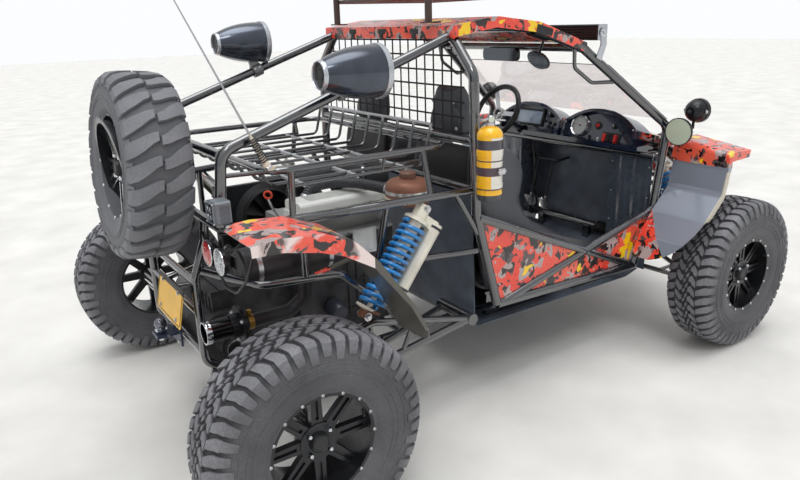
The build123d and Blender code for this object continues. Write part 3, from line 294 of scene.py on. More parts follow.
def rounded_block(size, radius, corner_steps=3):
    """A block with round edges: a small ball whose eight octants are pushed apart to the corners."""
    half = np.asarray(size, float) / 2 - radius
    quarter = np.linspace(0, np.pi / 2, corner_steps + 1)
    turn = np.concatenate([quarter + k * np.pi / 2 for k in range(4)])
    lift = np.concatenate([quarter - np.pi / 2, quarter])
    sign_x, sign_y = (np.repeat(signs, corner_steps + 1) for signs in ([1, -1, -1, 1], [1, 1, -1, -1]))
    sign_z = np.repeat([-1, 1], corner_steps + 1)
    x = np.cos(lift)[:, None] * np.cos(turn) * radius + sign_x * half[0]
    y = np.cos(lift)[:, None] * np.sin(turn) * radius + sign_y * half[1]
    points, faces = skin(x, y, (np.sin(lift) * radius + sign_z * half[2])[:, None])
    corners = np.arange(4) * (corner_steps + 1)
    caps = np.stack([corners[::-1], corners + len(turn) * (len(lift) - 1)])
    return points, np.concatenate([faces, caps])


def block(size, radius, place=(0, 0, 0), turn=None, steps=3):
    """A round-edged block at a place."""
    return moved(rounded_block(size, radius, steps), place, turn)


def blocks(size, radius, places, steps=3):
    """The same block at every place."""
    return copies(rounded_block(size, radius, steps), places)


def hex_bolt(width, height):
    """A six-sided head with a chamfered top on a round washer, standing on Z = 0."""
    head = turned([(height * 0.2, 0), (height * 0.2, width / 2), (height * 0.85, width / 2),
                   (height, width * 0.42), (height, 0)], 6)
    washer = turned([(0, 0), (0, width * 0.75), (height * 0.25, width * 0.75), (height * 0.25, 0)], 16)
    return gathered(head, washer)


def button_bolt(width, height):
    """A domed head: a quarter circle squeezed to the height, with a small socket in its top."""
    t = np.linspace(0, np.pi / 2 * 0.8, 5)
    dome = np.stack([np.sin(t) * height, np.cos(t) * width / 2], axis=-1)
    socket = [(height * 0.95, width * 0.14), (height * 0.5, width * 0.12), (height * 0.5, 0)]
    return turned([(0, 0), *dome, *socket], 12)


def sheet_bolts(places, axis, width=0.010, height=0.004):
    """Domed screw heads on a panel, along one direction."""
    level = (0.1, 0.2, 1) if abs(unit(axis)[2]) < 0.9 else (1, 0.1, 0)
    return copies(button_bolt(width, height), places, facing(axis, level))


def piece(name, part, finish, body="body", smooth=35, merge=1e-6, replaces=(), attribute=None):
    """A new object from a part: doubles merged, faces smoothed up to an angle, riding on a body."""
    points, faces = part
    mesh = bpy.data.meshes.new(name)
    mesh.from_pydata(points.tolist(), [], faces.tolist())
    if attribute is not None:
        layer = mesh.attributes.new("raise", "FLOAT", "POINT")
        layer.data.foreach_set("value", np.asarray(attribute, np.float32))
    work = bmesh.new()
    work.from_mesh(mesh)
    if merge:
        bmesh.ops.remove_doubles(work, verts=work.verts, dist=merge)
        bmesh.ops.dissolve_degenerate(work, edges=work.edges, dist=merge)
    bmesh.ops.recalc_face_normals(work, faces=work.faces)
    work.to_mesh(mesh)
    work.free()
    mesh.shade_smooth()
    mesh.set_sharp_from_angle(angle=math.radians(smooth))
    made = bpy.data.objects.new(name, mesh)
    scene.collection.objects.link(made)
    mesh.materials.append(finish.material)
    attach(made, body)
    if replaces:
        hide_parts(*replaces)
    return made


def fit_out(fittings, body="body"):
    """Makes the pieces of a table of name: (finish, part, ...), all with one slot and one body."""
    for name, (finish, *parts) in fittings.items():
        piece(name, gathered(*parts), finish, body)


# Finishes


def paint(red, green, blue):
    """A screen colour of 0 to 255 a channel as linear light."""
    c = np.array([red, green, blue]) / 255
    return tuple(np.where(c <= 0.04045, c / 12.92, ((c + 0.055) / 1.055) ** 2.4)) + (1.0,)


class Nodes:
    """A node tree, and patterns that read its place. A colour of three channels is a screen colour."""

    def __init__(self, tree):
        self.tree = tree
        self.place = None

    def put(self, value, socket):
        """Links a node's output to a socket, or sets the socket to a plain value or colour."""
        if isinstance(value, bpy.types.NodeSocket):
            self.tree.links.new(value, socket)
        elif socket.type == "RGBA":
            socket.default_value = paint(*value) if len(value) == 3 else tuple(value)
        else:
            socket.default_value = value

    def node(self, kind, inputs, output=0, **settings):
        """One output of a new node, after its settings and inputs are put in."""
        made = self.tree.nodes.new("ShaderNode" + kind)
        for setting, value in settings.items():
            setattr(made, setting, value)
        for socket, value in inputs.items():
            self.put(value, made.inputs[socket])
        return made.outputs[output]

    def stretched(self, scale=(1, 1, 1), shift=(0, 0, 0)):
        """The place with each coordinate scaled and shifted."""
        return self.node("Mapping", {"Vector": self.place, "Scale": scale, "Location": shift}, "Vector")

    def noise(self, scale, detail=3.0, place=None, distortion=0.0):
        """Cloudy noise from 0 to 1 of a density."""
        return self.node("TexNoise", {"Vector": place or self.place, "Scale": scale, "Detail": detail,
                                      "Distortion": distortion}, "Fac")

    def cells(self, scale, feature="F1"):
        """Distance to the nearest of scattered points of a density."""
        return self.node("TexVoronoi", {"Vector": self.place, "Scale": scale}, "Distance", feature=feature)

    def ramp(self, value, low, high, least=0.0, most=1.0):
        """least at low, most at high, a straight line between and level beyond."""
        return self.node("MapRange", {"Value": value, "From Min": low, "From Max": high, "To Min": least,
                                      "To Max": most}, "Result")

    def cloud(self, scale, detail, low, high, least=0.0, most=1.0):
        """Noise as soft patches."""
        return self.ramp(self.noise(scale, detail), low, high, least, most)

    def mix(self, share, a, b):
        """Colour a where share is 0 and b where it is 1, a straight blend between."""
        return self.node("Mix", {0: share, 6: a, 7: b}, 2, data_type="RGBA")

    def maths(self, kind, a, b=0.0):
        """One operation on two values, named as Blender names it."""
        return self.node("Math", {0: a, 1: b}, operation=kind)

    def between(self, value, low, high):
        """1 where value is above low and below high, 0 elsewhere."""
        return self.maths("MULTIPLY", self.maths("GREATER_THAN", value, low), self.maths("LESS_THAN", value, high))

    def coordinate(self, axis):
        """The place along X, Y or Z, as axis is 0, 1 or 2."""
        return self.node("SeparateXYZ", {0: self.place}, axis)

    # Places, each a share that is 1 there and 0 elsewhere

    def within(self, axis, low, high):
        """Between two stations of one coordinate."""
        return self.between(self.coordinate(axis), low, high)

    def inside(self, low, high):
        """Inside a box between two stations."""
        return self.where(*[("within", axis, *ends) for axis, ends in enumerate(zip(at(*low), at(*high)))])

    def nearer(self, point, radius):
        """Within radius of a point."""
        shift = self.stretched(shift=tuple(-p for p in point))
        return self.maths("LESS_THAN", self.node("VectorMath", {0: shift}, "Value", operation="LENGTH"), radius)

    def beyond(self, half_width, low, high):
        """Further out than half_width on either side of the car, between two heights."""
        out = self.maths("GREATER_THAN", self.maths("ABSOLUTE", self.coordinate(1)), half_width)
        return self.maths("MULTIPLY", out, self.within(2, low, high))

    def along(self, direction, low, high):
        """Where the distance along a direction lies between two values."""
        dot = self.node("VectorMath", {0: self.place, 1: direction}, "Value", operation="DOT_PRODUCT")
        return self.between(dot, low, high)

    def turned_to(self, direction, least):
        """Where the surface faces a direction, by the cosine between them."""
        normal = self.node("NewGeometry", {}, "Normal")
        dot = self.node("VectorMath", {0: normal, 1: direction}, "Value", operation="DOT_PRODUCT")
        return self.maths("GREATER_THAN", dot, least)

    def where(self, *places):
        """The product of places, each given as the name of its function and that function's values."""
        shares = [getattr(self, kind)(*values) for kind, *values in places]
        return functools.reduce(lambda a, b: self.maths("MULTIPLY", a, b), shares)


class Finish(Nodes):
    """A node material: one shader, and patterns that read the piece's own coordinates."""

    def __init__(self, name, colour, roughness, metallic=0.0, **fixed):
        self.material = bpy.data.materials.new(name)
        self.material.use_nodes = True
        super().__init__(self.material.node_tree)
        self.shader = self.tree.nodes["Principled BSDF"]
        self.place = self.node("TexCoord", {}, "Object")
        self.set("Base Color", colour).set("Roughness", roughness).set("Metallic", metallic)
        for socket, value in fixed.items():
            self.set(socket.replace("_", " ").title().replace("Ior", "IOR"), value)

    def set(self, socket, value):
        """Gives the shader a value or a pattern, and returns the finish so that calls can follow on."""
        self.put(value, self.shader.inputs[socket])
        return self

    def tones(self, share, a, b):
        """Colour a where share is 0 and b where it is 1."""
        self.tone = self.mix(share, a, b)
        return self.set("Base Color", self.tone)

    def gloss(self, *cloud):
        """Roughness that varies as soft patches."""
        return self.set("Roughness", self.cloud(*cloud))

    def bump(self, height, strength, distance=0.001):
        """A surface raised by height times distance, as strongly as strength says."""
        return self.set("Normal", self.node("Bump", {"Height": height, "Strength": strength, "Distance": distance},
                                            "Normal"))

    def grain(self, scale, detail, strength, distance):
        """A surface raised by noise."""
        return self.bump(self.noise(scale, detail), strength, distance)

    def zone(self, colour, roughness, metallic, *places):
        """Another finish where all the places hold: its colour, gloss and metal are mixed over what was there."""
        share = self.where(*places)
        for socket, value in (("Base Color", colour), ("Roughness", roughness), ("Metallic", metallic)):
            target = self.shader.inputs[socket]
            before = target.links[0].from_socket if target.is_linked else target.default_value
            kind, a, b, out = ("RGBA", 6, 7, 2) if socket == "Base Color" else ("FLOAT", 2, 3, 0)
            self.set(socket, self.node("Mix", {0: share, a: before, b: value}, out, data_type=kind))
        return self


def black_paint(name="black_paint", base=(18, 21, 29), dust=(86, 84, 82)):
    """Gloss black paint over a slightly uneven tube, with thin road dust in patches."""
    made = Finish(name, base, 0.2, coat_weight=1.0, coat_roughness=0.04, coat_ior=1.8, specular_ior_level=1.0)
    patches = made.cloud(5, 5, 0.56, 0.82, 0.0, 0.30)
    share = made.maths("MULTIPLY", patches, made.cloud(160, 2, 0.55, 0.8, 0.0, 0.5))
    made.tones(made.maths("ADD", share, made.maths("MULTIPLY", patches, 0.12)), base, dust)
    return made.gloss(22, 4, 0.3, 0.8, 0.12, 0.34).grain(210, 2, 0.06, 0.0005)


def camo_paint(name, shift=(0, 0, 0), scale=1.0):
    """Wrap with red ground and patches of pale grey, dark grey, black and yellow, cut with sharp edges."""
    ground = (234, 64, 46)
    made = Finish(name, ground, 0.3, coat_weight=0.6, coat_roughness=0.16)
    where = made.stretched((scale,) * 3, shift)
    fine = made.stretched((scale, scale, scale * 0.75), tuple(s + 3.1 for s in shift))
    shade = made.stretched((scale,) * 3, tuple(s + 7.7 for s in shift))
    tone = made.mix(made.ramp(made.noise(4, 3, where), 0.35, 0.7), ground, (244, 104, 78))
    for density, edge, place, detail, colour in (
            (13, 0.575, where, 2.5, (176, 158, 156)), (17, 0.595, fine, 3.0, (92, 74, 74)),
            (24, 0.565, where, 3.5, (30, 24, 26)), (10, 0.635, shade, 2.0, (250, 205, 20))):
        patch = made.ramp(made.noise(density, detail, place, 0.6), edge, edge + 0.012)
        made.tones(patch, tone, colour)
        tone = made.tone
    return made.gloss(18, 4, 0.3, 0.8, 0.2, 0.4).grain(60, 2, 0.05, 0.001)


def tyre_rubber(name, dusty=(146, 146, 151), clean=(50, 50, 53)):
    """Rubber: dark and rough in the grooves; on the blocks and the walls a light grey in cloudy patches, partly dust
    and partly a painted sheen.
    """
    made = Finish(name, clean, 0.62)
    lifted = made.ramp(made.node("Attribute", {}, "Fac", attribute_name="raise"), 0.0, 1.0)
    # The cloudy share carries dust and a painted sheen together.
    dust = made.maths("MULTIPLY", made.cloud(7, 6, 0.3, 0.75, 0.35, 1.0), made.cloud(140, 4, 0.3, 0.75, 0.6, 1.0))
    return made.tones(made.maths("MULTIPLY", lifted, dust), clean, dusty).grain(230, 5, 0.5, 0.0012)


def plain(name, colour, roughness, metallic=0.0, grain=180, depth=0.15, vary=0.15, **fixed):
    """A painted, moulded or cast finish: cloudy change of tone, uneven gloss and a fine grain."""
    made = Finish(name, colour, roughness, metallic, **fixed)
    darker, lighter = (tuple(min(1.0, c * (1 + v)) for c in paint(*colour)[:3]) + (1.0,) for v in (-vary, vary))
    made.tones(made.cloud(9, 5, 0.3, 0.7), darker, lighter)
    return made.gloss(31, 4, 0.3, 0.7, max(0.02, roughness - 0.07), roughness + 0.08).grain(grain, 3, depth, 0.0008)


def glass(name, tint, roughness=0.02):
    """Clear moulded sheet that lets most light through and carries a light film of dust."""
    made = Finish(name, tint, roughness, transmission_weight=1.0, ior=1.45)
    return made.gloss(14, 4, 0.35, 0.8, roughness, roughness + 0.07)


BLACK = black_paint()
SATIN_BLACK = plain("satin_black", (30, 31, 33), 0.42, grain=260)
CAST = plain("cast_aluminium", (140, 141, 142), 0.5, 0.75, grain=120, depth=0.4, vary=0.25)
ZINC = plain("zinc_bolts", (196, 196, 198), 0.28, 0.95)
CHROME = plain("chrome", (205, 208, 212), 0.12, 1.0, vary=0.05, depth=0.04)
RUBBER = plain("black_rubber", (30, 30, 31), 0.75, grain=300, depth=0.3)
TYRE = tyre_rubber("tyre_rubber")
SPARE = tyre_rubber("spare_rubber", (132, 133, 138), (88, 89, 93))
RIM = plain("rim_black", (34, 35, 39), 0.34, 0.5, coat_weight=0.3, coat_roughness=0.2)
IRON = plain("cast_iron", (58, 56, 55), 0.62, 0.6, grain=90, depth=0.4)

# Grained vinyl: small raised cells with fine creases between them
VINYL = Finish("seat_vinyl", (54, 56, 61), 0.42, coat_weight=0.15, coat_roughness=0.3)
VINYL.tones(VINYL.cloud(6, 5, 0.35, 0.75), (54, 56, 61), (76, 78, 84)).gloss(12, 4, 0.3, 0.7, 0.34, 0.52)
VINYL.bump(VINYL.cells(420, "SMOOTH_F1"), 0.35, 0.0008)

# Finishes that change over one node. FAR stands for no limit.

FAR = 9
INNER_BLACK = (30, 31, 34), 0.4, 0.0
WHEEL_CENTRE = at(1.905, 0.300, 1.127)
BOTTLE_RIGHT = np.array([0.83, -0.56, 0])
PIPE_BLACK = (20, 20, 23), 0.14, 0.6
FENDER_PAINT = camo_paint("camo_front_fender", (0.4, 0.2, 0.1))
FENDER_CAMO = FENDER_PAINT.tone
# The lower rear flap is grey; its pale bluish grey is partly a painted reflection of the sky in its gloss.
FENDER_PAINT.zone((150, 157, 170), 0.16, 0.3, ("within", 2, 0.0, 0.944))
FENDER_PAINT.zone(FENDER_CAMO, 0.2, 0.0, ("along", (0, -1, 0.9), -FAR, 1.304), ("along", (0, 1, 0.9), -FAR, 1.304))
FENDER_PAINT.zone((196, 188, 172), 0.35, 0.0, ("beyond", 0.9565, 0.0, 0.925))
FLOOR_BAR_FINISH = black_paint("rack_floor_paint")
for cross_x in (0.230, 0.450, 0.670, 0.846):
    ends = (cross_x + REAR_AXLE_X - 0.0085, cross_x + REAR_AXLE_X + 0.0085)
    FLOOR_BAR_FINISH.zone((170, 171, 174), 0.32, 0.8, ("within", 0, *ends))
# The dash is gloss blue-black; the bluer, lighter tone of its cloudy patches is partly a painted reflection of the
# sky.
DASH_FINISH = Finish("dash_gloss", (18, 23, 34), 0.12, coat_weight=1.0, coat_roughness=0.03)
DASH_FINISH.tones(DASH_FINISH.cloud(8, 4, 0.3, 0.7), (18, 24, 38), (38, 50, 76))
DASH_FINISH.gloss(20, 4, 0.3, 0.8, 0.08, 0.24).grain(240, 2, 0.08, 0.0006)
ENGINE_FINISH = plain("engine_cast", (66, 66, 69), 0.5, 0.55, grain=70, depth=0.5, vary=0.35).zone(
    (32, 31, 32), 0.8, 0.1, ("cloud", 14, 6, 0.46, 0.66, 0, 0.8)).zone(
    (156, 156, 154), 0.42, 0.4, ("within", 2, 0.770, 0.860))
SPRING_FINISH = plain("spring_blue", (22, 128, 200), 0.22, 0.0, coat_weight=0.8, coat_roughness=0.06).zone(
    (92, 112, 128), 0.6, 0.0, ("cloud", 30, 5, 0.62, 0.75, 0, 0.7))
BOTTLE_FINISH = plain("bottle_yellow", (248, 186, 12), 0.2, coat_weight=0.6, coat_roughness=0.06, vary=0.05)
BOTTLE_FINISH.zone((226, 222, 212), 0.3, 0.0, ("along", BOTTLE_RIGHT, BOTTLE_RIGHT @ at(0.948, -0.712, 0), FAR),
                   ("within", 2, 1.012, 1.212))
for low, high, colour, roughness, metallic in (
        (1.166, 1.203, (64, 62, 70), 0.3, 0.0), (1.120, 1.125, (70, 50, 60), 0.35, 0.0),
        (1.064, 1.098, (70, 50, 60), 0.35, 0.0), (1.0095, 1.0145, (70, 50, 60), 0.35, 0.0),
        (0, 0.988, (62, 64, 70), 0.4, 0.2), (1.256, FAR, (190, 192, 196), 0.25, 0.9)):
    BOTTLE_FINISH.zone(colour, roughness, metallic, ("within", 2, low, high))
BOTTLE_FINISH.zone((34, 35, 38), 0.4, 0.2, ("within", 1, -0.661, FAR))

NODE_FINISHES = (
    (camo_paint("camo_wrap"), "roof_panel"), (camo_paint("camo_hood", (0.15, 0.3, 0.9)), "hood"),
    (RIM, "rim_rear_right", "rim_rear_left", "rim_front_right", "rim_front_left", "spare_rim"),
    (IRON, "knuckle_right", "knuckle_left", "half_shafts"),
    (FENDER_PAINT, "front_fenders"), (FLOOR_BAR_FINISH, "rack_floor"), (DASH_FINISH, "dashboard"),
    (ENGINE_FINISH, "engine_block"), (BOTTLE_FINISH, "fire_extinguisher"),
    (camo_paint("camo_rear_fender", (0.7, 0.1, 0.5), 0.8)
     # Soft pale patches on the faces turned to the right are a painted highlight of the sky in the gloss.
     .zone((236, 218, 214), 0.25, 0.0, ("turned_to", (0, -1, 0), 0.6), ("cloud", 11, 4, 0.45, 0.56))
     .zone((80, 77, 68), 0.45, 0.0, ("within", 0, 0.272 + REAR_AXLE_X, FAR)), "rear_fenders"),
    (camo_paint("camo_side_panels")
     .zone(*INNER_BLACK, ("turned_to", (0, -1, 0), 0.5), ("within", 1, 0.0, FAR))
     .zone(*INNER_BLACK, ("turned_to", (0, 1, 0), 0.5), ("within", 1, -FAR, 0.0))
     .zone((36, 39, 46), 0.3, 0.0, ("along", (0.4276, 0, 1), 0.7215, FAR), ("along", (-0.2382, 0, 1), 0.5048, FAR)),
     "side_panels"),
    (plain("steering_wheel_grip", (26, 26, 28), 0.45, grain=300, depth=0.3)
     .zone((196, 198, 202), 0.22, 0.9, ("nearer", WHEEL_CENTRE, 0.141))
     .zone((214, 212, 206), 0.4, 0.0, ("nearer", WHEEL_CENTRE, 0.040)), "steering_wheel"),
    (plain("lamp_bar_black", (24, 26, 32), 0.3, 0.2, grain=300)
     .zone((196, 200, 206), 0.18, 0.95, ("beyond", 0.5445, 0, FAR)), "light_bar"),
    (plain("basket_brown", (74, 58, 53), 0.42, 0.2, coat_weight=0.2, coat_roughness=0.25), "roof_basket"),
    # The tub is dark blue-black sheet drawn as a lighter blue grey: a painted highlight that also lightens its shade.
    # The grey patches over it are dust.
    (plain("floor_grey", (92, 100, 112), 0.4, 0.1, grain=140, depth=0.35, vary=0.3)
     .zone((104, 104, 104), 0.7, 0.0, ("cloud", 6, 6, 0.5, 0.75), ("cloud", 90, 3, 0.4, 0.7)), "cab_tub"),
    (plain("pedal_steel", (52, 53, 56), 0.4, 0.5).zone((188, 184, 178), 0.35, 0.75, ("within", 2, 0.0, 0.607)),
     "pedals"),
    (plain("pipe_steel", (62, 60, 63), 0.42, 0.6, grain=90, depth=0.3, vary=0.35)
     .zone((84, 62, 50), 0.75, 0.2, ("cloud", 16, 6, 0.54, 0.78, 0, 0.6))
     .zone(*PIPE_BLACK, ("inside", (-0.2, -0.50, 0.50), (-0.0605, -0.34, 0.68)))
     .zone(*PIPE_BLACK, ("inside", (-0.2, 0.34, 0.50), (-0.0605, 0.50, 0.68)))
     .zone((44, 45, 48), 0.3, 0.7, ("inside", (-0.0605, -0.50, 0.50), (-0.008, -0.34, 0.68))), "exhaust"),
    (plain("hose_black", (27, 28, 30), 0.5, grain=220)
     # The valve cover is silver, drawn lighter still: painted light against the shade under the rack.
     .zone((228, 229, 224), 0.36, 0.1, ("inside", (0.36, -0.215, 0.80), (0.82, -0.005, 0.95)))
     .zone((150, 152, 154), 0.4, 0.6, ("inside", (0.66, -0.60, 0.90), (0.90, -0.30, 1.06)))
     .zone((152, 104, 84), 0.5, 0.3, ("inside", (0.66, -0.52, 0.9205), (0.90, -0.29, 1.06)))
     .zone((206, 190, 170), 0.45, 0.3, ("inside", (0.66, -0.52, 0.940), (0.90, -0.29, 0.952))), "intake_parts"),
    (plain("damper_cream", (222, 217, 202), 0.34, 0.1, coat_weight=0.2, coat_roughness=0.2)
     .zone((134, 88, 66), 0.6, 0.4, ("within", 2, 0.0, 0.606))
     .zone((150, 128, 104), 0.6, 0.1, ("cloud", 12, 6, 0.58, 0.75, 0, 0.6)), "shock_absorbers"),
    (black_paint("arm_paint", (30, 30, 33), (104, 96, 88)), "trailing_arms", "front_arms", "belly_rails",
     "nose_frame"),
    (plain("plate_yellow", (246, 188, 38), 0.35, vary=0.08)
     .zone((196, 156, 80), 0.6, 0.0, ("cloud", 20, 5, 0.6, 0.8, 0, 0.35))
     .zone((40, 41, 44), 0.4, 0.5, ("within", 0, -0.186 + REAR_AXLE_X, FAR)), "number_plate"),
    (plain("hitch_steel", (62, 70, 88), 0.4, 0.5, grain=110, depth=0.3)
     .zone((120, 122, 130), 0.14, 1.0, ("nearer", at(-0.206, 0, 0.492), 0.0262)), "tow_hitch"),
    (plain("mirror_shell", (24, 25, 28), 0.32).zone((88, 92, 98), 0.04, 1.0, ("turned_to", (-1, 0, 0), 0.9)),
     "mirrors"),
    (plain("lamp_shell", (24, 25, 28), 0.3, 0.3).zone((196, 202, 208), 0.12, 0.7, ("turned_to", (1, 0, 0), 0.6)),
     "front_lamps"),
    (plain("tail_lamp_shell", (26, 27, 30), 0.35, 0.2).zone((122, 127, 134), 0.4, 0.3, ("within", 2, 1.030, 1.2)),
     "rear_lamps"),
    (plain("net_webbing", (20, 20, 22), 0.8, grain=420, depth=0.6), "window_net"),
    (plain("lead_black", (22, 22, 24), 0.42, grain=300), "lamp_leads"),
    (plain("whip_cream", (214, 204, 184), 0.4).zone((176, 178, 182), 0.3, 0.6, ("within", 2, 1.305, FAR)), "antenna"),
    (glass("smoke_screen", (0.93, 0.88, 0.89, 1.0), 0.0), "windscreen"),
    (plain("lever_black", (24, 24, 26), 0.5, grain=240, depth=0.3), "shift_lever"),
)
for node in nodes.values():
    node.data.materials.clear()
    node.data.materials.append(BLACK.material)
for finish, *names in NODE_FINISHES:
    for name in names:
        nodes[name].data.materials[0] = finish.material

# Wheels


def carcass_line(radius, half_width, bead, lug):
    """Half of a tyre's outline from the middle of the crown to the bead, as (across, radius) rows of a smooth line."""
    crown = radius - lug
    rows = [(0, crown), (0.40, crown - 0.001), (0.66, crown - 0.004), (0.82, crown - 0.014),
            (0.92, crown - 0.036), (0.965, crown - 0.075), (0.97, (crown + bead) / 2 - 0.005),
            (0.945, bead + 0.050), (0.90, bead + 0.026), (0.84, bead + 0.012), (0.81, bead)]
    return smooth_line(rows, 6) * (half_width, 1)


def tyre_point(angle, across, lift, line):
    """Point of a tyre that turns about Y: across is the distance from the crown along the outline, and lift stands
    it off along the outline's normal."""
    run = lengths(line)
    slope = unit(np.gradient(line, axis=0))
    s = np.abs(across)
    y = np.interp(s, run, line[:, 0]) - lift * np.interp(s, run, slope[:, 1])
    r = np.interp(s, run, line[:, 1]) + lift * np.interp(s, run, slope[:, 0])
    return np.stack(np.broadcast_arrays(r * np.cos(angle), np.sign(across) * y, r * np.sin(angle)), axis=-1)


def lug_row(line, count, phase, rows, side, bevel=0.0018):
    """Tread blocks round a tyre. Each of the rows says how far across it lies, how far round the block's middle is
    there, how wide the block is and how high: between them the block runs straight, and its rim slopes in."""
    s, middle_, width, lift = np.array(rows, float).T
    run = np.concatenate([[s[0] - bevel], s, [s[-1] + bevel]])
    centre = np.concatenate([middle_[:1], middle_, middle_[-1:]])
    half = np.concatenate([width[:1], width, width[-1:]]) / 2
    up = np.concatenate([[0], lift, [0]])
    spread = np.stack([-half - bevel, -half + bevel * 0.4, half - bevel * 0.4, half + bevel], axis=-1)
    height = np.stack([0 * up, up, up, 0 * up], axis=-1) - 0.0006
    angle = (centre[:, None] + spread) / line[0, 1]
    shape = (count, *angle.shape)
    where = angle[None] * side + angles(count, phase)[:, None, None]
    across = np.broadcast_to(run[None, :, None] * side, shape)
    points = tyre_point(where, across, np.broadcast_to(height, shape), line)
    steps = (np.arange(count) * angle.size)[:, None, None]
    raised = np.broadcast_to(np.clip(height / 0.006, 0, 1), shape)
    return (points.reshape(-1, 3), (grid(points[0])[1][None] + steps).reshape(-1, 4)), raised.ravel()


def carcass(line, turns=96):
    """The tyre without its blocks: the outline to one bead, the other half of it, and back inside, turned about Y."""
    run = lengths(line)
    across = np.concatenate([-run[::-1], run[1:]])
    points = tyre_point(angles(turns)[:, None], across[None], 0.0, line)
    wall = np.clip((np.abs(across) - 0.115) / 0.03, 0, 1) * 0.4
    return grid(points, wrap_rows=True, wrap_columns=True), np.broadcast_to(wall, points.shape[:2]).ravel()


def wall_rings(line, places, lift=0.0022, half=0.0012, turns=96):
    """Raised rings on both side walls, each a low ridge at its distance from the crown."""
    offsets = np.array([-2 * half, -half, half, 2 * half])
    height = np.array([-0.0005, lift, lift, -0.0005])[None]
    part = gathered(*[
        grid(tyre_point(angles(turns)[:, None], side * (s + offsets)[None], height, line), wrap_rows=True)
        for s in places for side in (-1, 1)])
    return part, np.full(len(part[0]), 0.5)


def tyre(place, centre, line, rows_of_lugs, rings, body, finish, node, turn=None):
    """A tyre from its carcass, tread blocks and wall rings."""
    made = [carcass(line), wall_rings(line, rings)] + rows_of_lugs
    piece(f"tyre_tread_{place}", moved(gathered(*[m[0] for m in made]), centre, turn), finish, body, 30, 0,
          (node,), np.concatenate([m[1] for m in made]))


MUD_LINE = carcass_line(TYRE_RADIUS, TYRE_HALF, 0.1815, 0.0115)
MUD_PITCHES = 46
HIGH = 0.0112


def mud_lugs():
    """Two staggered sides, each with long and short shoulder blocks, hooked blocks beside them and small centre
    ones."""
    rows = []
    half_pitch = np.pi / MUD_PITCHES
    for side in (-1, 1):
        start = half_pitch if side > 0 else 0
        for odd, end in ((0, 0.158), (1, 0.144)):
            shoulder = [(0.056, -0.017, 0.026, HIGH), (0.074, -0.008, 0.034, HIGH), (0.092, 0.001, 0.037, HIGH),
                        (0.106, 0.001, 0.037, 0.0095), (0.110, 0.001, 0.034, 0.0065), (0.124, 0.001, 0.034, 0.0058),
                        (end, 0.001, 0.030, 0.0042)]
            rows.append(lug_row(MUD_LINE, MUD_PITCHES // 2, start + odd * 2 * half_pitch, shoulder, side))
        inner = [(0.016, 0.012, 0.022, HIGH), (0.028, 0.016, 0.032, HIGH), (0.036, 0.004, 0.034, HIGH),
                 (0.050, -0.008, 0.024, HIGH)]
        rows.append(lug_row(MUD_LINE, MUD_PITCHES, start + half_pitch * 0.8, inner, side))
        centre = [(0.001, -0.004, 0.016, HIGH), (0.011, 0.006, 0.020, HIGH)]
        rows.append(lug_row(MUD_LINE, MUD_PITCHES, start + half_pitch * 1.7, centre, side))
    return rows


SPARE_CENTRE = middle("spare_tyre")
SPARE_TILT = math.radians(5)
SPARE_LINE = carcass_line(0.330, 0.111, 0.1775, 0.015)
SPARE_PITCHES = 26
DEEP = 0.0145


def spare_lugs():
    """Wide slanted blocks in arrow pairs, with a step half way and short wall blocks between them."""
    rows = []
    for side in (-1, 1):
        start = np.pi / SPARE_PITCHES if side > 0 else 0
        arrow = [(0.004, 0.026, 0.030, DEEP), (0.024, 0.020, 0.036, DEEP), (0.052, 0.004, 0.046, DEEP),
                 (0.078, -0.010, 0.052, DEEP), (0.096, -0.016, 0.054, 0.0130), (0.112, -0.018, 0.046, 0.0080)]
        rows.append(lug_row(SPARE_LINE, SPARE_PITCHES, start, arrow, side, 0.003))
        wall = [(0.090, 0.018, 0.012, 0.0080), (0.120, 0.018, 0.014, 0.0050)]
        rows.append(lug_row(SPARE_LINE, SPARE_PITCHES, start, wall, side, 0.002))
    return rows


def wheel_fittings(side, centre, place):
    """Bolts round the rim's edge, four nuts, the centre cap and the valve, on the outer side of a wheel."""
    out = np.array([0, side, 0.0])
    flange, face, turn = centre + out * 0.1005, centre + out * 0.059, facing(out)
    nut = turned([(-0.012, 0), (-0.012, 0.0105), (0.012, 0.0105), (0.018, 0.008), (0.021, 0.004), (0.022, 0)], 6)
    cap = turned([(0.002, 0), (0.002, 0.036), (0.010, 0.035), (0.020, 0.030), (0.022, 0.026), (0.019, 0.024),
                  (0.019, 0)], 36)
    stem = turned([(0, 0), (0, 0.0045), (0.018, 0.004), (0.018, 0.0052), (0.030, 0.0048), (0.031, 0)], 12)
    bolt_ring = about_y(0.1835, angles(16, math.radians(-1.5))) + flange
    fit_out({
        f"ring_bolts_{place}": (ZINC, copies(button_bolt(0.0135, 0.006), bolt_ring, turn)),
        f"lug_nuts_{place}": (CHROME, copies(nut, about_y(0.050, angles(4, np.pi / 4)) + face, turn)),
        f"centre_cap_{place}": (SATIN_BLACK, moved(cap, face, turn)),
        f"rim_edge_{place}": (ZINC, tube(about_y(0.1935, angles(96)) + flange, 0.0016, 8, True, (0, 1, 0))),
        f"valve_{place}": (RUBBER, moved(stem, centre + out * 0.086 + (0.150, 0, 0.072),
                                         facing(out + (-0.35, 0, -0.17)))),
    }, f"wheel_{place}")


MUD_LUGS = mud_lugs()
for place in ("rear_right", "rear_left", "front_right", "front_left"):
    hub = middle(f"tyre_{place}")
    tyre(place, hub, MUD_LINE, MUD_LUGS, (0.170, 0.196, 0.214), f"wheel_{place}", TYRE, f"tyre_{place}")
    wheel_fittings(-1 if hub[1] < 0 else 1, hub, place)

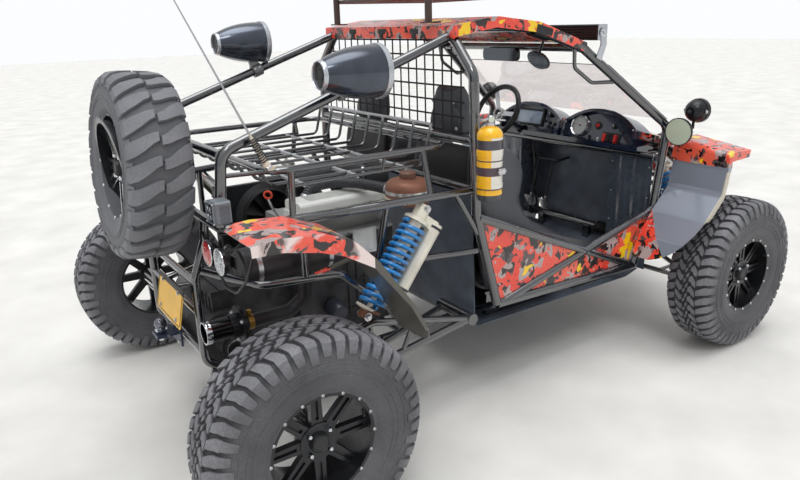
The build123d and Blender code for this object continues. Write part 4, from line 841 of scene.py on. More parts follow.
# The spare's axle points backwards and a little down, so its Y becomes that axis.
spare_axis = np.array([-math.cos(SPARE_TILT), 0, math.sin(SPARE_TILT)])
spare_turn = np.stack([np.cross(spare_axis, (0, 1, 0)), -spare_axis, (0, 1, 0)], axis=1)
tyre("spare", SPARE_CENTRE, SPARE_LINE, spare_lugs(), (0.150, 0.168), "body", SPARE, "spare_tyre", spare_turn)

# Seats: each is a moulded shell with two padded side wings, a base, a back and a head pad

SEAT_WING = [(1.090, 0.466), (1.560, 0.444), (1.646, 0.500), (1.656, 0.588), (1.560, 0.658), (1.395, 0.740),
             (1.322, 0.800), (1.270, 0.895), (1.314, 1.008), (1.225, 1.116), (1.120, 1.150), (1.040, 1.140),
             (1.018, 1.060), (1.018, 0.900), (1.052, 0.600)]
VOXEL = 0.006


def star_outline(corners, centre, steps=112, rounds=3):
    """Distance from a centre to a closed outline at even angles: each ray is crossed with every side, the furthest
    crossing counts, and each distance is averaged with its neighbours to round the corners."""
    start = np.asarray(corners) - centre
    side = np.roll(start, -1, axis=0) - start
    angle = angles(steps)
    ray = np.stack([np.cos(angle), np.sin(angle)], axis=-1)[:, None]
    square = ray[..., 0] * side[:, 1] - ray[..., 1] * side[:, 0]
    reach = (start[:, 0] * side[:, 1] - start[:, 1] * side[:, 0]) / square
    share = (start[:, 0] * ray[..., 1] - start[:, 1] * ray[..., 0]) / square
    reach = np.where((share >= 0) & (share <= 1) & (reach > 0), reach, 0).max(axis=1)
    for _ in range(rounds):
        reach = (np.roll(reach, 1) + 2 * reach + np.roll(reach, -1)) / 4
    return angle, reach


def plumped(value, power):
    """A sine or cosine raised to 2 / power with its sign kept, which squares a circle."""
    return np.sign(value) * np.abs(value) ** (2 / power)


def side_pad(corners, centre, y, half, plump=3.5, rings=15):
    """A pad drawn from the side: from the middle of one face to the middle of the other, the outline shrinks as
    sin(u)^(2/plump) while the pad's face moves across as cos(u)^(2/plump)."""
    angle, reach = star_outline(corners, centre)
    u = np.linspace(0, np.pi, rings)[:, None]
    shrink = np.sin(u) ** (2 / plump) * reach
    return skin(centre[0] + shrink * np.cos(angle) + REAR_AXLE_X, y + half * plumped(np.cos(u), plump),
                centre[1] + shrink * np.sin(angle))


def strip_pad(path, half_width, half_thick, y=0.0, plump=5.0, sides=44, steps=10, ends=4.0):
    """A pad along a line seen from the side: the section is a squared circle of the two half sizes, and both ends
    close as (1 - t^ends)^(1/ends), where t runs from -1 to 1 along the line."""
    rows = smooth_line(np.column_stack([path, half_width, half_thick]), steps)
    run = lengths(rows[:, :2])
    even = (1 - np.cos(np.linspace(0, np.pi, len(run)))) / 2 * run[-1]
    x, z, wide, thick = (np.interp(even, run, column) for column in rows.T)
    along = unit(np.gradient(np.stack([x, z], axis=-1), axis=0))
    t = np.sin(np.linspace(-1, 1, len(x)) * np.pi / 2)
    close = (1 - np.abs(t) ** ends) ** (1 / ends)
    angle = angles(sides)
    out = (thick * close)[:, None] * plumped(np.sin(angle), plump)
    across = (wide * (0.9 + 0.1 * close) * (close > 1e-6))[:, None] * plumped(np.cos(angle), plump)
    return skin(x[:, None] - along[:, 1:] * out + REAR_AXLE_X, y + across, z[:, None] + along[:, :1] * out)


def numbers(items, key, width, kind=np.float32):
    """One property of every item of a mesh as an array of rows."""
    values = np.empty(len(items) * width, kind)
    items.foreach_get(key, values)
    return values.reshape(-1, width)


def swollen(name, part, cap):
    """Points, faces and normals of a stuffed copy: remeshed evenly, blown up as cloth for twenty frames, and held
    within cap of where each point started."""
    points, faces = part
    mesh = bpy.data.meshes.new(name)
    mesh.from_pydata(points.tolist(), [], faces.tolist())
    work = bmesh.new()
    work.from_mesh(mesh)
    bmesh.ops.remove_doubles(work, verts=work.verts, dist=1e-5)
    bmesh.ops.recalc_face_normals(work, faces=work.faces)
    work.to_mesh(mesh)
    work.free()
    stuffed = bpy.data.objects.new(name, mesh)
    scene.collection.objects.link(stuffed)
    remesh = stuffed.modifiers.new("even", "REMESH")
    remesh.mode = "VOXEL"
    remesh.voxel_size = VOXEL
    even = bpy.data.meshes.new_from_object(stuffed.evaluated_get(bpy.context.evaluated_depsgraph_get()))
    stuffed.modifiers.clear()
    stuffed.data = even
    before = after = numbers(even.vertices, "co", 3)
    cloth = stuffed.modifiers.new("stuffing", "CLOTH")
    cloth.settings.use_pressure = True
    cloth.settings.uniform_pressure_force = 4
    cloth.settings.effector_weights.gravity = 0
    for number in range(1, 21):
        scene.frame_set(number)
    blown = stuffed.evaluated_get(bpy.context.evaluated_depsgraph_get()).to_mesh()
    after = numbers(blown.vertices, "co", 3)
    stuffed.modifiers.clear()
    scene.frame_set(1)
    move = after - before
    length = np.linalg.norm(move, axis=1, keepdims=True)
    after = before + move * np.minimum(1, cap / np.maximum(length, 1e-9))
    corners = numbers(even.loops, "vertex_index", 1, np.int32).reshape(-1, 4)
    normals = numbers(even.vertices, "normal", 3)
    bpy.data.objects.remove(stuffed)
    return after.astype(float), corners, normals.astype(float)


def sewn(made, axis, places, depth, width):
    """The pad with seams across it pressed in: where one coordinate nears a seam's place, the point goes in along
    its normal by depth * exp(-(distance / width)^2)."""
    points, faces, normals = made
    press = sum(np.exp(-((points[:, axis] - place) / width) ** 2) for place in places)
    return points - normals * (depth * np.clip(press, 0, 1))[:, None], faces


wing = swollen("wing_form", side_pad(SEAT_WING, (1.18, 0.75), 0.2135, 0.025), 0.007)
base = swollen("base_form", strip_pad([(1.225, 0.535), (1.40, 0.525), (1.58, 0.533), (1.638, 0.530)],
                                      [0.172, 0.175, 0.175, 0.170], [0.032, 0.034, 0.036, 0.034]), 0.012)
back = swollen("back_form", strip_pad([(1.158, 0.590), (1.122, 0.730), (1.090, 0.900), (1.070, 1.050), (1.056, 1.135)],
                                      [0.170, 0.174, 0.174, 0.172, 0.160], [0.030, 0.031, 0.032, 0.032, 0.026]), 0.012)
head = swollen("head_form", strip_pad([(1.066, 1.150), (1.068, 1.215), (1.074, 1.300), (1.070, 1.376)],
                                      [0.114, 0.116, 0.104, 0.086], [0.040, 0.043, 0.040, 0.030], ends=3.0), 0.008)
pads = {
    "base": sewn(base, 0, REAR_AXLE_X + np.array([1.30, 1.39, 1.48, 1.57]), 0.007, 0.008),
    "back": sewn(back, 2, (0.70, 0.79, 0.88, 0.97, 1.06), 0.007, 0.008),
    "head": sewn(head, 2, (1.172,), 0.005, 0.006),
}
shell = strip_pad([(1.622, 0.470), (1.40, 0.462), (1.16, 0.470), (1.060, 0.520), (1.046, 0.640), (1.024, 0.900),
                   (1.022, 1.060), (1.030, 1.135)], [0.186] * 8, [0.016] * 8, plump=8, ends=8)
seat_mounts = gathered(blocks((0.40, 0.035, 0.120), 0.006, spots(1.33, (-0.16, 0.16), 0.388)),
                       block((0.42, 0.36, 0.020), 0.006, at(1.33, 0, 0.444)))
stud = turned([(0, 0), (0, 0.0085), (0.002, 0.008), (0.0045, 0.005), (0.005, 0)], 12)
stud_places = np.array([at(1.026, y, z) for y, z in ((-0.072, 1.31), (0.072, 1.31), (-0.09, 1.20), (0.09, 1.20))])
for side, seat in SIDES:
    centre = np.array([0, side * SEAT_Y, 0])
    outer, inner = (wing[:2], mirrored(wing[:2]))[::side]
    covers = {f"seat_wing_{seat}_outer": outer, f"seat_wing_{seat}_inner": inner,
              **{f"seat_{name}_{seat}": part for name, part in pads.items()}}
    for name, part in covers.items():
        pad = piece(name, moved(part, centre), VINYL, "body", 80, 0, ("seats",))
    piece(f"seat_shell_{seat}", moved(shell, centre), SATIN_BLACK, smooth=40)
    fit_out({f"seat_mount_{seat}": (BLACK, moved(seat_mounts, centre)),
                      f"seat_studs_{seat}": (ZINC, copies(stud, stud_places + centre, facing(BACK)))})

# Dashboard: instruments on the floors of the two binnacles, in the order from the left

FACE_LIE, FACE_UP = unit([-1, 0, 0.35]), unit([0.35, 0, 1])
DASH_TURN = np.stack([[0, -1, 0], FACE_UP, FACE_LIE], axis=1)
BINNACLE_Y, BINNACLE_DEPTH = 0.255, 0.028


def on_dash(side, across, up, lift=0.0):
    """A point of a binnacle: across to the right, up its face, and lift out of its floor."""
    return at(2.098, side * BINNACLE_Y - across, 0.985) + FACE_UP * up + FACE_LIE * (lift - BINNACLE_DEPTH)


def set_in(part, *where):
    """A part set into the dashboard."""
    return moved(part, on_dash(*where), DASH_TURN)


def knob(radius, height, flutes=14):
    """A turned knob whose side is waved with flutes, on a flat collar."""
    rows = [(0, 0), (0, radius * 1.25), (0.0015, radius * 1.25), (0.002, radius), (height * 0.8, radius * 0.9),
            (height, radius * 0.7), (height, 0)]
    return fluted(turned(rows, flutes * 4), 0.0018, height * 0.9, -0.09, waves(flutes))


def rocker(width=0.019, height=0.040, tilt=0.35):
    """A rocker switch: a rounded key whose face is hollowed as a shallow V, tilted to one side."""
    points, faces = rounded_block((width, height, 0.012), 0.002)
    high = points[:, 2] > 0
    points[high, 2] += np.abs(points[high, 1]) * tilt - 0.003
    return points, faces


screen_finish = Finish("screen_glass", (150, 168, 186), 0.1, coat_weight=0.9, coat_roughness=0.03)
screen_finish.tones(screen_finish.cloud(11, 3, 0.3, 0.7), (136, 156, 178), (172, 186, 200))
dial_finish = plain("dial_white", (226, 228, 226), 0.3, vary=0.03)
red_plastic = plain("red_plastic", (206, 30, 24), 0.35)
lit = Finish("telltale_lamp", (235, 238, 232), 0.15, coat_weight=0.6)
lit.tones(lit.cloud(90, 2, 0.3, 0.7), (225, 232, 226), (250, 252, 248))

KNOBS = ((1, 0.141, 0.131, 0.015), (1, 0.196, 0.125, 0.010), (1, 0.111, 0.091, 0.007), (1, 0.145, 0.085, 0.008),
         (1, 0.184, 0.080, 0.008), (1, 0.136, 0.064, 0.007), (1, 0.172, 0.059, 0.007), (-1, 0.089, 0.110, 0.012),
         (-1, -0.060, 0.040, 0.008), (-1, 0.150, 0.085, 0.008))
POINTED = (0, 1, 7)
GAUGE_AT = (-1, -0.137, 0.093)
sweep = np.radians(np.linspace(220, -40, 25))
heavy = np.arange(len(sweep)) % 4 == 0
marks = [copies(rounded_block((length, width, 0.0010), 0.0004, 1),
                about_z(0.0455 - length / 2, sweep[chosen], 0.0080), spins(sweep[chosen]))
         for chosen, length, width in ((heavy, 0.009, 0.0018), (~heavy, 0.005, 0.0009))]
hub_cap = turned([(0.0078, 0), (0.0078, 0.006), (0.0115, 0.005), (0.0118, 0)], 20)
needle = tube([(-0.008, 0, 0.0100), (0.010, 0, 0.0100), (0.036, 0, 0.0098)], [0.0016, 0.0014, 0.0005], 8,
              level=(0, 0, 1))
telltale = turned([(0, 0), (0, 0.0065), (0.003, 0.0062), (0.0052, 0.004), (0.0058, 0)], 20)
dash_screws = [on_dash(side, a, u, 0.028) for side in (-1, 1)
               for a, u in ((-0.228, 0.010), (0.228, 0.010), (-0.226, 0.100), (0.226, 0.100))]
fit_out({
    "screen_bezel": (SATIN_BLACK, set_in(rounded_block((0.214, 0.098, 0.014), 0.005), 1, -0.014, 0.104, 0.006)),
    "screen_pane": (screen_finish, set_in(rounded_block((0.190, 0.075, 0.008), 0.0035), 1, -0.014, 0.104, 0.0115)),
    "dash_knobs": (SATIN_BLACK, *[set_in(knob(r, r * 1.5), side, across, up, -0.001)
                                  for side, across, up, r in KNOBS]),
    "knob_pointers": (dial_finish, *[
        set_in(rounded_block((r * 0.2, r * 0.9, 0.0016), 0.0006), side, across, up + r * 0.3, r * 1.5)
        for side, across, up, r in (KNOBS[k] for k in POINTED)]),
    "gauge_ring": (CHROME, set_in(turned([
        (0, 0), (0, 0.059), (0.010, 0.0615), (0.017, 0.059), (0.019, 0.055), (0.015, 0.0505), (0.006, 0.049),
        (0.006, 0)], 64), *GAUGE_AT)),
    "gauge_face": (dial_finish, set_in(turned([(0.0062, 0), (0.0062, 0.0492), (0.0075, 0.0485), (0.0078, 0)], 48),
                                       *GAUGE_AT)),
    "gauge_marks": (SATIN_BLACK, set_in(gathered(*marks, hub_cap), *GAUGE_AT)),
    "gauge_needle": (red_plastic, set_in(moved(needle, turn=spins(2.9)[0]), *GAUGE_AT)),
    "gauge_glass": (glass("dial_glass", (1, 1, 1, 1), 0.01), set_in(turned([
        (0.0150, 0), (0.0150, 0.0502), (0.0158, 0.0500), (0.0164, 0.030), (0.0166, 0)], 48), *GAUGE_AT)),
    "power_socket": (SATIN_BLACK, set_in(turned([
        (0, 0), (0, 0.0215), (0.006, 0.021), (0.008, 0.018), (0.008, 0.0125), (0.0015, 0.012), (0.0015, 0)], 32),
        -1, -0.017, 0.105)),
    "socket_cap": (red_plastic, set_in(turned([(0.001, 0), (0.001, 0.011), (0.010, 0.011), (0.014, 0.008),
                                               (0.014, 0)], 24), -1, -0.017, 0.105)),
    "switch_panel": (SATIN_BLACK, set_in(rounded_block((0.118, 0.062, 0.010), 0.004), -1, 0.085, 0.046, 0.003)),
    **{f"rocker_switch_{number}": (finish, set_in(rocker(), -1, 0.025 + 0.024 * number, 0.046, 0.011))
       for number, finish in enumerate((red_plastic, RUBBER, RUBBER, red_plastic), 1)},
    "telltales": (lit, *[set_in(telltale, *where)
                         for where in ((-1, -0.002, 0.036), (1, -0.150, 0.060), (1, -0.150, 0.080))]),
    "dash_screws": (ZINC, sheet_bolts(dash_screws, FACE_LIE, 0.011, 0.004)),
})

# Steering wheel: screws on the hub, a cap and the stitching inside the grip

COLUMN_RAKE = math.radians(30)
wheel_turn = facing(unit([-math.cos(COLUMN_RAKE), 0, math.sin(COLUMN_RAKE)]))
HUB_FACE = -0.008
hub_screws = copies(button_bolt(0.0085, 0.004), about_z(0.024, angles(6, np.pi / 6), HUB_FACE))
hub_disc = turned([(HUB_FACE - 0.001, 0), (HUB_FACE - 0.001, 0.017), (HUB_FACE + 0.006, 0.0165),
                   (HUB_FACE + 0.009, 0.012), (HUB_FACE + 0.010, 0)], 36)
stitch_angle = angles(90)
stitches = copies(rounded_block((0.0016, 0.0016, 0.007), 0.0007, 1), about_z(0.1433, stitch_angle),
                  spins(stitch_angle))
fit_out({
    "hub_screws": (ZINC, moved(hub_screws, WHEEL_CENTRE, wheel_turn)),
    "horn_button": (SATIN_BLACK, moved(hub_disc, WHEEL_CENTRE, wheel_turn)),
    "wheel_stitches": (plain("grey_thread", (120, 120, 122), 0.7), moved(stitches, WHEEL_CENTRE, wheel_turn)),
}, "steering_wheel")

# Controls on the floor: a ribbed grip on each pedal pad, the lever's gaiter and collar

PAD_RAKE = math.radians(24)
pad_turn = np.stack([[math.cos(PAD_RAKE), 0, math.sin(PAD_RAKE)], [0, 1, 0],
                     [-math.sin(PAD_RAKE), 0, math.cos(PAD_RAKE)]], axis=1)
fit_out({
    f"{name}_grip": (ZINC, moved(blocks((0.007, width * 0.82, 0.008), 0.002,
                                        [(-0.0065, 0, z) for z in np.linspace(-0.034, 0.034, 6)], 2),
                                 at(2.170, y, 0.560), pad_turn))
    for name, y, width in (("throttle", 0.150, 0.070), ("brake", 0.270, 0.070), ("clutch", 0.400, 0.060))})
collar = turned([(0, 0), (0, 0.0115), (0.004, 0.014), (0.012, 0.0135), (0.015, 0.011), (0.015, 0)], 24)
fit_out({
    "lever_gaiter": (RUBBER, bellows((1.560, 0, 0.331), (1.560, 0, 0.405), 0.057, 0.016, 0.006, 5)),
    "lever_collar": (CHROME, moved(collar, at(1.5335, 0, 0.6235), facing((-0.17, 0, 0.98), (0, 1, 0)))),
})

# Lamps and mirrors


def lens(radius, rise, ripples, wave=0.0006, lift=0.0012, sides=48):
    """A lamp glass: a cap of a ball over a circle, with rings of small waves."""
    ball = (radius**2 + rise**2) / (2 * rise)
    r = np.linspace(radius, 0, ripples * 6 + 1)
    height = np.sqrt(ball**2 - r**2) - (ball - rise) + lift + wave * np.cos(2 * np.pi * ripples * r / radius)
    return turned(np.concatenate([[[-0.001, 0], [-0.001, radius]], np.stack([height, r], axis=-1)]), sides)


def lens_finish(name, colour, metallic, density, a, b):
    """Moulded lens plastic: small cells that change its tone and stand out a little."""
    made = Finish(name, colour, 0.12 if metallic == 0 else 0.1, metallic, coat_weight=1.0, coat_roughness=0.03)
    cells = made.cells(density)
    return made.tones(made.ramp(cells, 0.1, 0.6), a, b).bump(cells, 0.35, 0.0012)


def frame_of(size, half_width, half_height, radius, centre, ends):
    """Four bars round an opening across the car: two long ones of a size, and two ends."""
    return gathered(*[block(size, radius, centre + (0, 0, s * half_height)) for s in (-1, 1)],
                    *[block(ends, radius, centre + (0, s * half_width, 0)) for s in (-1, 1)])


red_lens = lens_finish("red_lens", (196, 22, 22), 0.0, 170, (226, 40, 34), (150, 12, 16))
clear_lens = lens_finish("clear_lens", (186, 190, 194), 0.35, 150, (222, 226, 230), (120, 124, 130))
lamp_glass = glass("lamp_glass", (0.96, 0.98, 1.0, 1.0), 0.01)
HEAD_TILT = math.radians(4)
head_axis = np.array([math.cos(HEAD_TILT), 0, -math.sin(HEAD_TILT)])
gland = turned([(-0.004, 0), (-0.004, 0.011), (0.006, 0.011), (0.008, 0.007), (0.020, 0.005), (0.021, 0)], 20)
end_disc = turned([(-0.002, 0), (-0.002, 0.021), (0.003, 0.021), (0.005, 0.018), (0.005, 0.010), (0.012, 0.010),
                   (0.014, 0.008), (0.014, 0)], 32)
for side, place in SIDES:
    for name, finish, y in (("red_lens", red_lens, 0.470), ("clear_lens", clear_lens, 0.586)):
        centre = at(-0.124, side * y, 0.905)
        fit_out({f"{name}_{place}": (finish, moved(lens(0.0435, 0.0088, 5), centre, facing(BACK))),
                               f"{name}_{place}_rim": (CHROME, hoop(centre, BACK, 0.0452, 0.0022))})
    centre = at(2.630, side * 0.262, 0.905) + head_axis * 0.150
    spot = at(2.190 + 0.082, side * 0.752, 1.192)
    fit_out({
        f"headlamp_glass_{place}": (lamp_glass, moved(lens(0.0775, 0.0156, 7), centre, facing(head_axis))),
        f"headlamp_rim_{place}": (CHROME, hoop(centre, head_axis, 0.0795, 0.0036)),
        f"spot_glass_{place}": (lamp_glass, moved(lens(0.0535, 0.0108, 5), spot, facing(AHEAD))),
        f"spot_rim_{place}": (SATIN_BLACK, hoop(spot, BACK, 0.0550, 0.0028)),
        f"spot_gland_{place}": (RUBBER, moved(gland, at(2.190, side * 0.752, 1.192), facing(BACK))),
        f"spot_pivots_{place}": (ZINC, *[
            moved(hex_bolt(0.012, 0.006), at(2.236, side * 0.752 + s * 0.0565, 1.192), facing((0, s, 0)))
            for s in (-1, 1)]),
    })
    fit_out({f"bar_end_{place}": (CHROME, moved(end_disc, at(1.772, side * 0.5505, 1.572),
                                                             facing((0, side, 0))))})

# The work lamp: a square glass over four cups, with fins on both cheeks and screws at the corners
WORK = at(-0.124, -0.572, 1.072)
cup = turned([(0, 0), (0, 0.0105), (0.0045, 0.0125), (0.0048, 0.0110), (0.0012, 0.004), (0.0024, 0)], 20)
fit_out({
    "work_lamp_cups": (CHROME, copies(cup, spots(-0.1235, (-0.586, -0.558), (1.058, 1.086)), facing(BACK))),
    "work_lamp_glass": (lamp_glass, block((0.006, 0.060, 0.060), 0.0025, WORK + (-0.0055, 0, 0))),
    "work_lamp_frame": (plain("lamp_grey", (110, 115, 122), 0.4, 0.3),
                        frame_of((0.012, 0.072, 0.0060), 0.0325, 0.0325, 0.002, WORK + (-0.003, 0, 0),
                                 (0.012, 0.0060, 0.072))),
    "work_lamp_screws": (ZINC, sheet_bolts(spots(-0.132, (-0.6045, -0.5395), (1.0395, 1.1045)), BACK, 0.007, 0.003)),
    "work_lamp_fins": (plain("fin_grey", (96, 101, 108), 0.45, 0.4),
                       blocks((0.034, 0.0825, 0.0022), 0.0009,
                              spots(-0.094, -0.572, np.linspace(1.044, 1.100, 8)), 1)),
})

# The light bar: two rows of cups behind a clear front, and a round bolt at each end
BAR_Z = 1.572
cup_y = np.linspace(-0.500, 0.500, 22)
bar_cup = turned([(0, 0), (0, 0.0112), (0.0055, 0.0125), (0.0057, 0.0112), (0.0012, 0.0035), (0.0028, 0)], 16)
cup_rows = np.concatenate([spots(1.8025, cup_y, BAR_Z + s * 0.0135) for s in (-1, 1)])
fit_out({
    "bar_cups": (CHROME, copies(bar_cup, cup_rows, facing(AHEAD))),
    "bar_front": (lamp_glass, block((0.006, 1.045, 0.058), 0.0028, at(1.8115, 0, BAR_Z))),
    "bar_bezel": (SATIN_BLACK, frame_of((0.014, 1.075, 0.006), 0.5325, 0.0315, 0.0025, at(1.8065, 0, BAR_Z),
                                        (0.014, 0.010, 0.066))),
    "bar_fin_edges": (SATIN_BLACK, blocks((0.012, 1.060, 0.0016), 0.0007,
                                          spots(1.738, 0, BAR_Z + np.linspace(-0.030, 0.030, 6)), 1)),
})

# Mirror: a rim round the glass
MIRROR_YAW = math.radians(8)
mirror_axis = np.array([-math.cos(MIRROR_YAW), -math.sin(MIRROR_YAW), 0])
mirror_face = at(2.152, -0.728, 1.098) + mirror_axis * 0.0070
mirror_dome = turned([(0, 0), (0, 0.0635), (0.0006, 0.0630), (0.0024, 0.040), (0.0030, 0)], 64)
fit_out({
    "round_mirror_rim": (SATIN_BLACK, hoop(mirror_face, mirror_axis, 0.0648, 0.0024, 64)),
    "round_mirror_glass": (Finish("mirror_silver", (222, 230, 206), 0.10, 0.25, coat_weight=1.0, coat_roughness=0.01)
                           .gloss(30, 4, 0.4, 0.8, 0.05, 0.14),
                           moved(mirror_dome, mirror_face - mirror_axis * 0.0002, facing(mirror_axis))),
})

# Engine bay: hoses with rings along their lines and a band clamp at each end, the cover's fittings and the tank's

hose, hose_path = ribbed_hose(route((0.480, 0.060, 0.870), (0.466, 0.068, 0.925), (0.500, 0.058, 0.962),
                                    (0.640, 0.020, 0.985), (0.782, -0.056, 0.985)), 46, 0.0318, 0.0030, 28)
tank_hose, tank_path = ribbed_hose(route((0.470, -0.030, 0.905), (0.520, -0.020, 0.950), (0.609, -0.050, 0.966),
                                         (0.665, -0.150, 0.974), (0.708, -0.250, 0.970), (0.742, -0.330, 0.962)),
                                   40, 0.0215, 0.0028, 24)
pleats = fluted(turned([(0, 0), (0, 0.040), (0.010, 0.052), (0.095, 0.044), (0.105, 0.040), (0.107, 0)], 144),
                0.005, 0.1, -0.07, waves(36))
cap = fluted(turned([(1.030, 0), (1.030, 0.034), (1.046, 0.033), (1.052, 0.026), (1.053, 0)], 72), 0, 1.048, 0.05,
             lambda angle: np.cos(angle * 18) > 0)
filler = turned([(0, 0), (0, 0.029), (0.010, 0.029), (0.012, 0.024), (0.022, 0.023), (0.026, 0.020), (0.026, 0)], 36)
TANK = at(0.770, -0.405, 0)
fit_out({
    "cover_bolts": (ZINC, copies(hex_bolt(0.0085, 0.007),
                                 spots(np.linspace(0.385, 0.795, 6), (-0.1895, -0.0305), 0.8815))),
    "cover_ribs": (plain("cover_grey", (206, 207, 203), 0.4, 0.2, grain=160, depth=0.3, vary=0.2),
                   blocks((0.300, 0.007, 0.007), 0.002, spots(0.585, np.linspace(-0.150, -0.070, 6), 0.9325), 2)),
    "oil_filler": (SATIN_BLACK, moved(filler, at(0.750, -0.110, 0.929))),
    "hose_ribs": (plain("hose_rubber", (25, 26, 28), 0.42, grain=260), hose),
    "hose_clamps": (ZINC, clamps(hose_path, (8, -10), 6, 0.0345, 0.011, 0.0015)),
    "air_filter": (plain("filter_dark", (44, 45, 49), 0.6, grain=300, depth=0.4),
                   moved(pleats, hose_path[-4], facing(hose_path[-1] - hose_path[-8]))),
    "tank_hose": (plain("grey_hose_rubber", (58, 59, 62), 0.45, grain=260), tank_hose),
    "tank_hose_clamps": (ZINC, clamps(tank_path, (6, -12), 6, 0.0246, 0.010, 0.0014)),
    "tank_cap": (plain("cap_brown", (120, 84, 70), 0.5), moved(cap, TANK)),
    "tank_seam": (plain("tank_seam_pale", (206, 190, 170), 0.45), hoop(TANK + (0, 0, 0.9465), UP, 0.0965, 0.0032, 72)),
    "tank_band": (ZINC, band(TANK + (0, 0, 0.972), UP, 0.0962, 0.014, 0.0014, 72)),
    "overflow_pipe": (RUBBER, tube(route((0.830, -0.365, 1.012), (0.842, -0.353, 1.020), (0.862, -0.339, 1.004),
                                         (0.870, -0.333, 0.960), (0.868, -0.325, 0.900), steps=6), 0.0042, 10)),
})


def pulley(radius, width=0.026):
    """A grooved pulley: its rim waves in and out between two flanges."""
    t = np.linspace(-0.5, 0.5, 21)
    rim_rows = np.stack([t * width, radius - 0.0022 * (0.5 + 0.5 * np.cos(t * 8 * np.pi))], axis=-1)
    rows = [(-width / 2 - 0.003, 0), (-width / 2 - 0.003, radius + 0.003), (-width / 2, radius + 0.003), *rim_rows,
            (width / 2, radius + 0.003), (width / 2 + 0.003, radius + 0.003), (width / 2 + 0.003, radius * 0.75),
            (width / 2 - 0.006, radius * 0.68), (width / 2 - 0.006, radius * 0.35), (width / 2 + 0.006, radius * 0.3),
            (width / 2 + 0.008, 0)]
    return turned(rows, 40)


def belt_line(rounds, turns=160):
    """The outer tangent line round circles: at each angle it is as far out as the furthest circle reaches."""
    out = about_x(1, angles(turns))[:, 1:]
    centres, radii = rounds[:, :2], rounds[:, 2]
    best = (out @ centres.T + radii).argmax(axis=1)
    return centres[best] + out * radii[best][:, None]


def drive_belt(rounds, x, half=0.010, thick=0.004):
    """A flat belt over pulleys: its inner line and, a thickness further from its middle, its outer one."""
    belt = belt_line(rounds + (0, 0, 0.003))
    path = np.stack([np.full(len(belt), x + REAR_AXLE_X), belt[:, 0], belt[:, 1]], axis=-1)
    low, high = path - (half, 0, 0), path + (half, 0, 0)
    out = unit(path - path.mean(0)) * thick
    return grid(np.stack([low, high, high + out, low + out]), wrap_rows=True, wrap_columns=True)


def radiator_core(length=0.400, high=0.320, thick=0.032, fins=54):
    """A block whose two broad faces wave along its length: y = +-(thick/2 - 0.003 + 0.003 cos(2 pi fins u))."""
    u = np.linspace(0, 1, fins * 6 + 1)[:, None]
    face = thick / 2 - 0.003 + 0.003 * np.cos(2 * np.pi * fins * u)
    z = np.linspace(-0.5, 0.5, 5) * high
    return skin((u - 0.5) * length, face * np.repeat([-1, 1], 5)[None], np.concatenate([z, z[::-1]])[None])


def fan_blade(inner=0.026, outer=0.118, steps=10):
    """One blade: its chord grows outward, and it twists from 50 to 25 degrees between hub and tip."""
    t = np.linspace(0, 1, steps)[:, None]
    chord = (0.020 + 0.024 * t) * np.array([-1, -0.5, 0, 0.5, 1, 0.5, 0, -0.5])[None]
    thick = 0.0014 * np.array([0, 1, 1.2, 1, 0, -1, -1.2, -1])[None]
    twist = np.radians(50 - 25 * t)
    return skin(inner + (outer - inner) * t, chord * np.cos(twist) - thick * np.sin(twist),
                chord * np.sin(twist) + thick * np.cos(twist))


PULLEYS = np.array([(-0.030, 0.430, 0.070), (-0.150, 0.640, 0.046), (0.110, 0.660, 0.034)])
BELT_X = 0.808
RIB_HEIGHTS = (0.430, 0.560, 0.690)
RADIATOR = at(0.430, 0.318, 0.778)
FAN = RADIATOR + (0, -0.030, 0)
fan_turn = facing((0, -1, 0), (1, 0, 0))
shroud = turned([(0.000, 0.158), (0.016, 0.130), (0.034, 0.128), (0.036, 0.124), (0.034, 0.121), (0.014, 0.122),
                 (0.000, 0.122)], 64, True)
fan_hub = turned([(-0.012, 0), (-0.012, 0.026), (0.008, 0.028), (0.012, 0.022), (0.012, 0)], 32)
fan = gathered(copies(fan_blade(), np.zeros((9, 3)), spins(angles(9))), fan_hub)
top_hose = route((0.652, 0.298, 0.888), (0.652, 0.243, 0.893), (0.640, 0.180, 0.880), (0.620, 0.060, 0.860),
                 (0.600, -0.010, 0.850))
low_hose = route((0.208, 0.298, 0.658), (0.208, 0.238, 0.648), (0.205, 0.190, 0.660), (0.215, 0.120, 0.700),
                 (0.240, 0.060, 0.760))
filter_can = turned([(0, 0), (0, 0.034), (0.006, 0.038), (0.072, 0.038), (0.080, 0.034), (0.084, 0.022),
                     (0.084, 0)], 36)
cover_ring = turned([(0, 0), (0, 0.095), (0.008, 0.095), (0.012, 0.088), (0.012, 0.050), (0.022, 0.044),
                     (0.022, 0)], 48)
plenum = turned([(0, 0), (0, 0.030), (0.010, 0.040), (0.370, 0.040), (0.380, 0.030), (0.380, 0)], 36)
starter = turned([(0, 0), (0, 0.036), (0.120, 0.036), (0.126, 0.028), (0.150, 0.026), (0.152, 0)], 28)
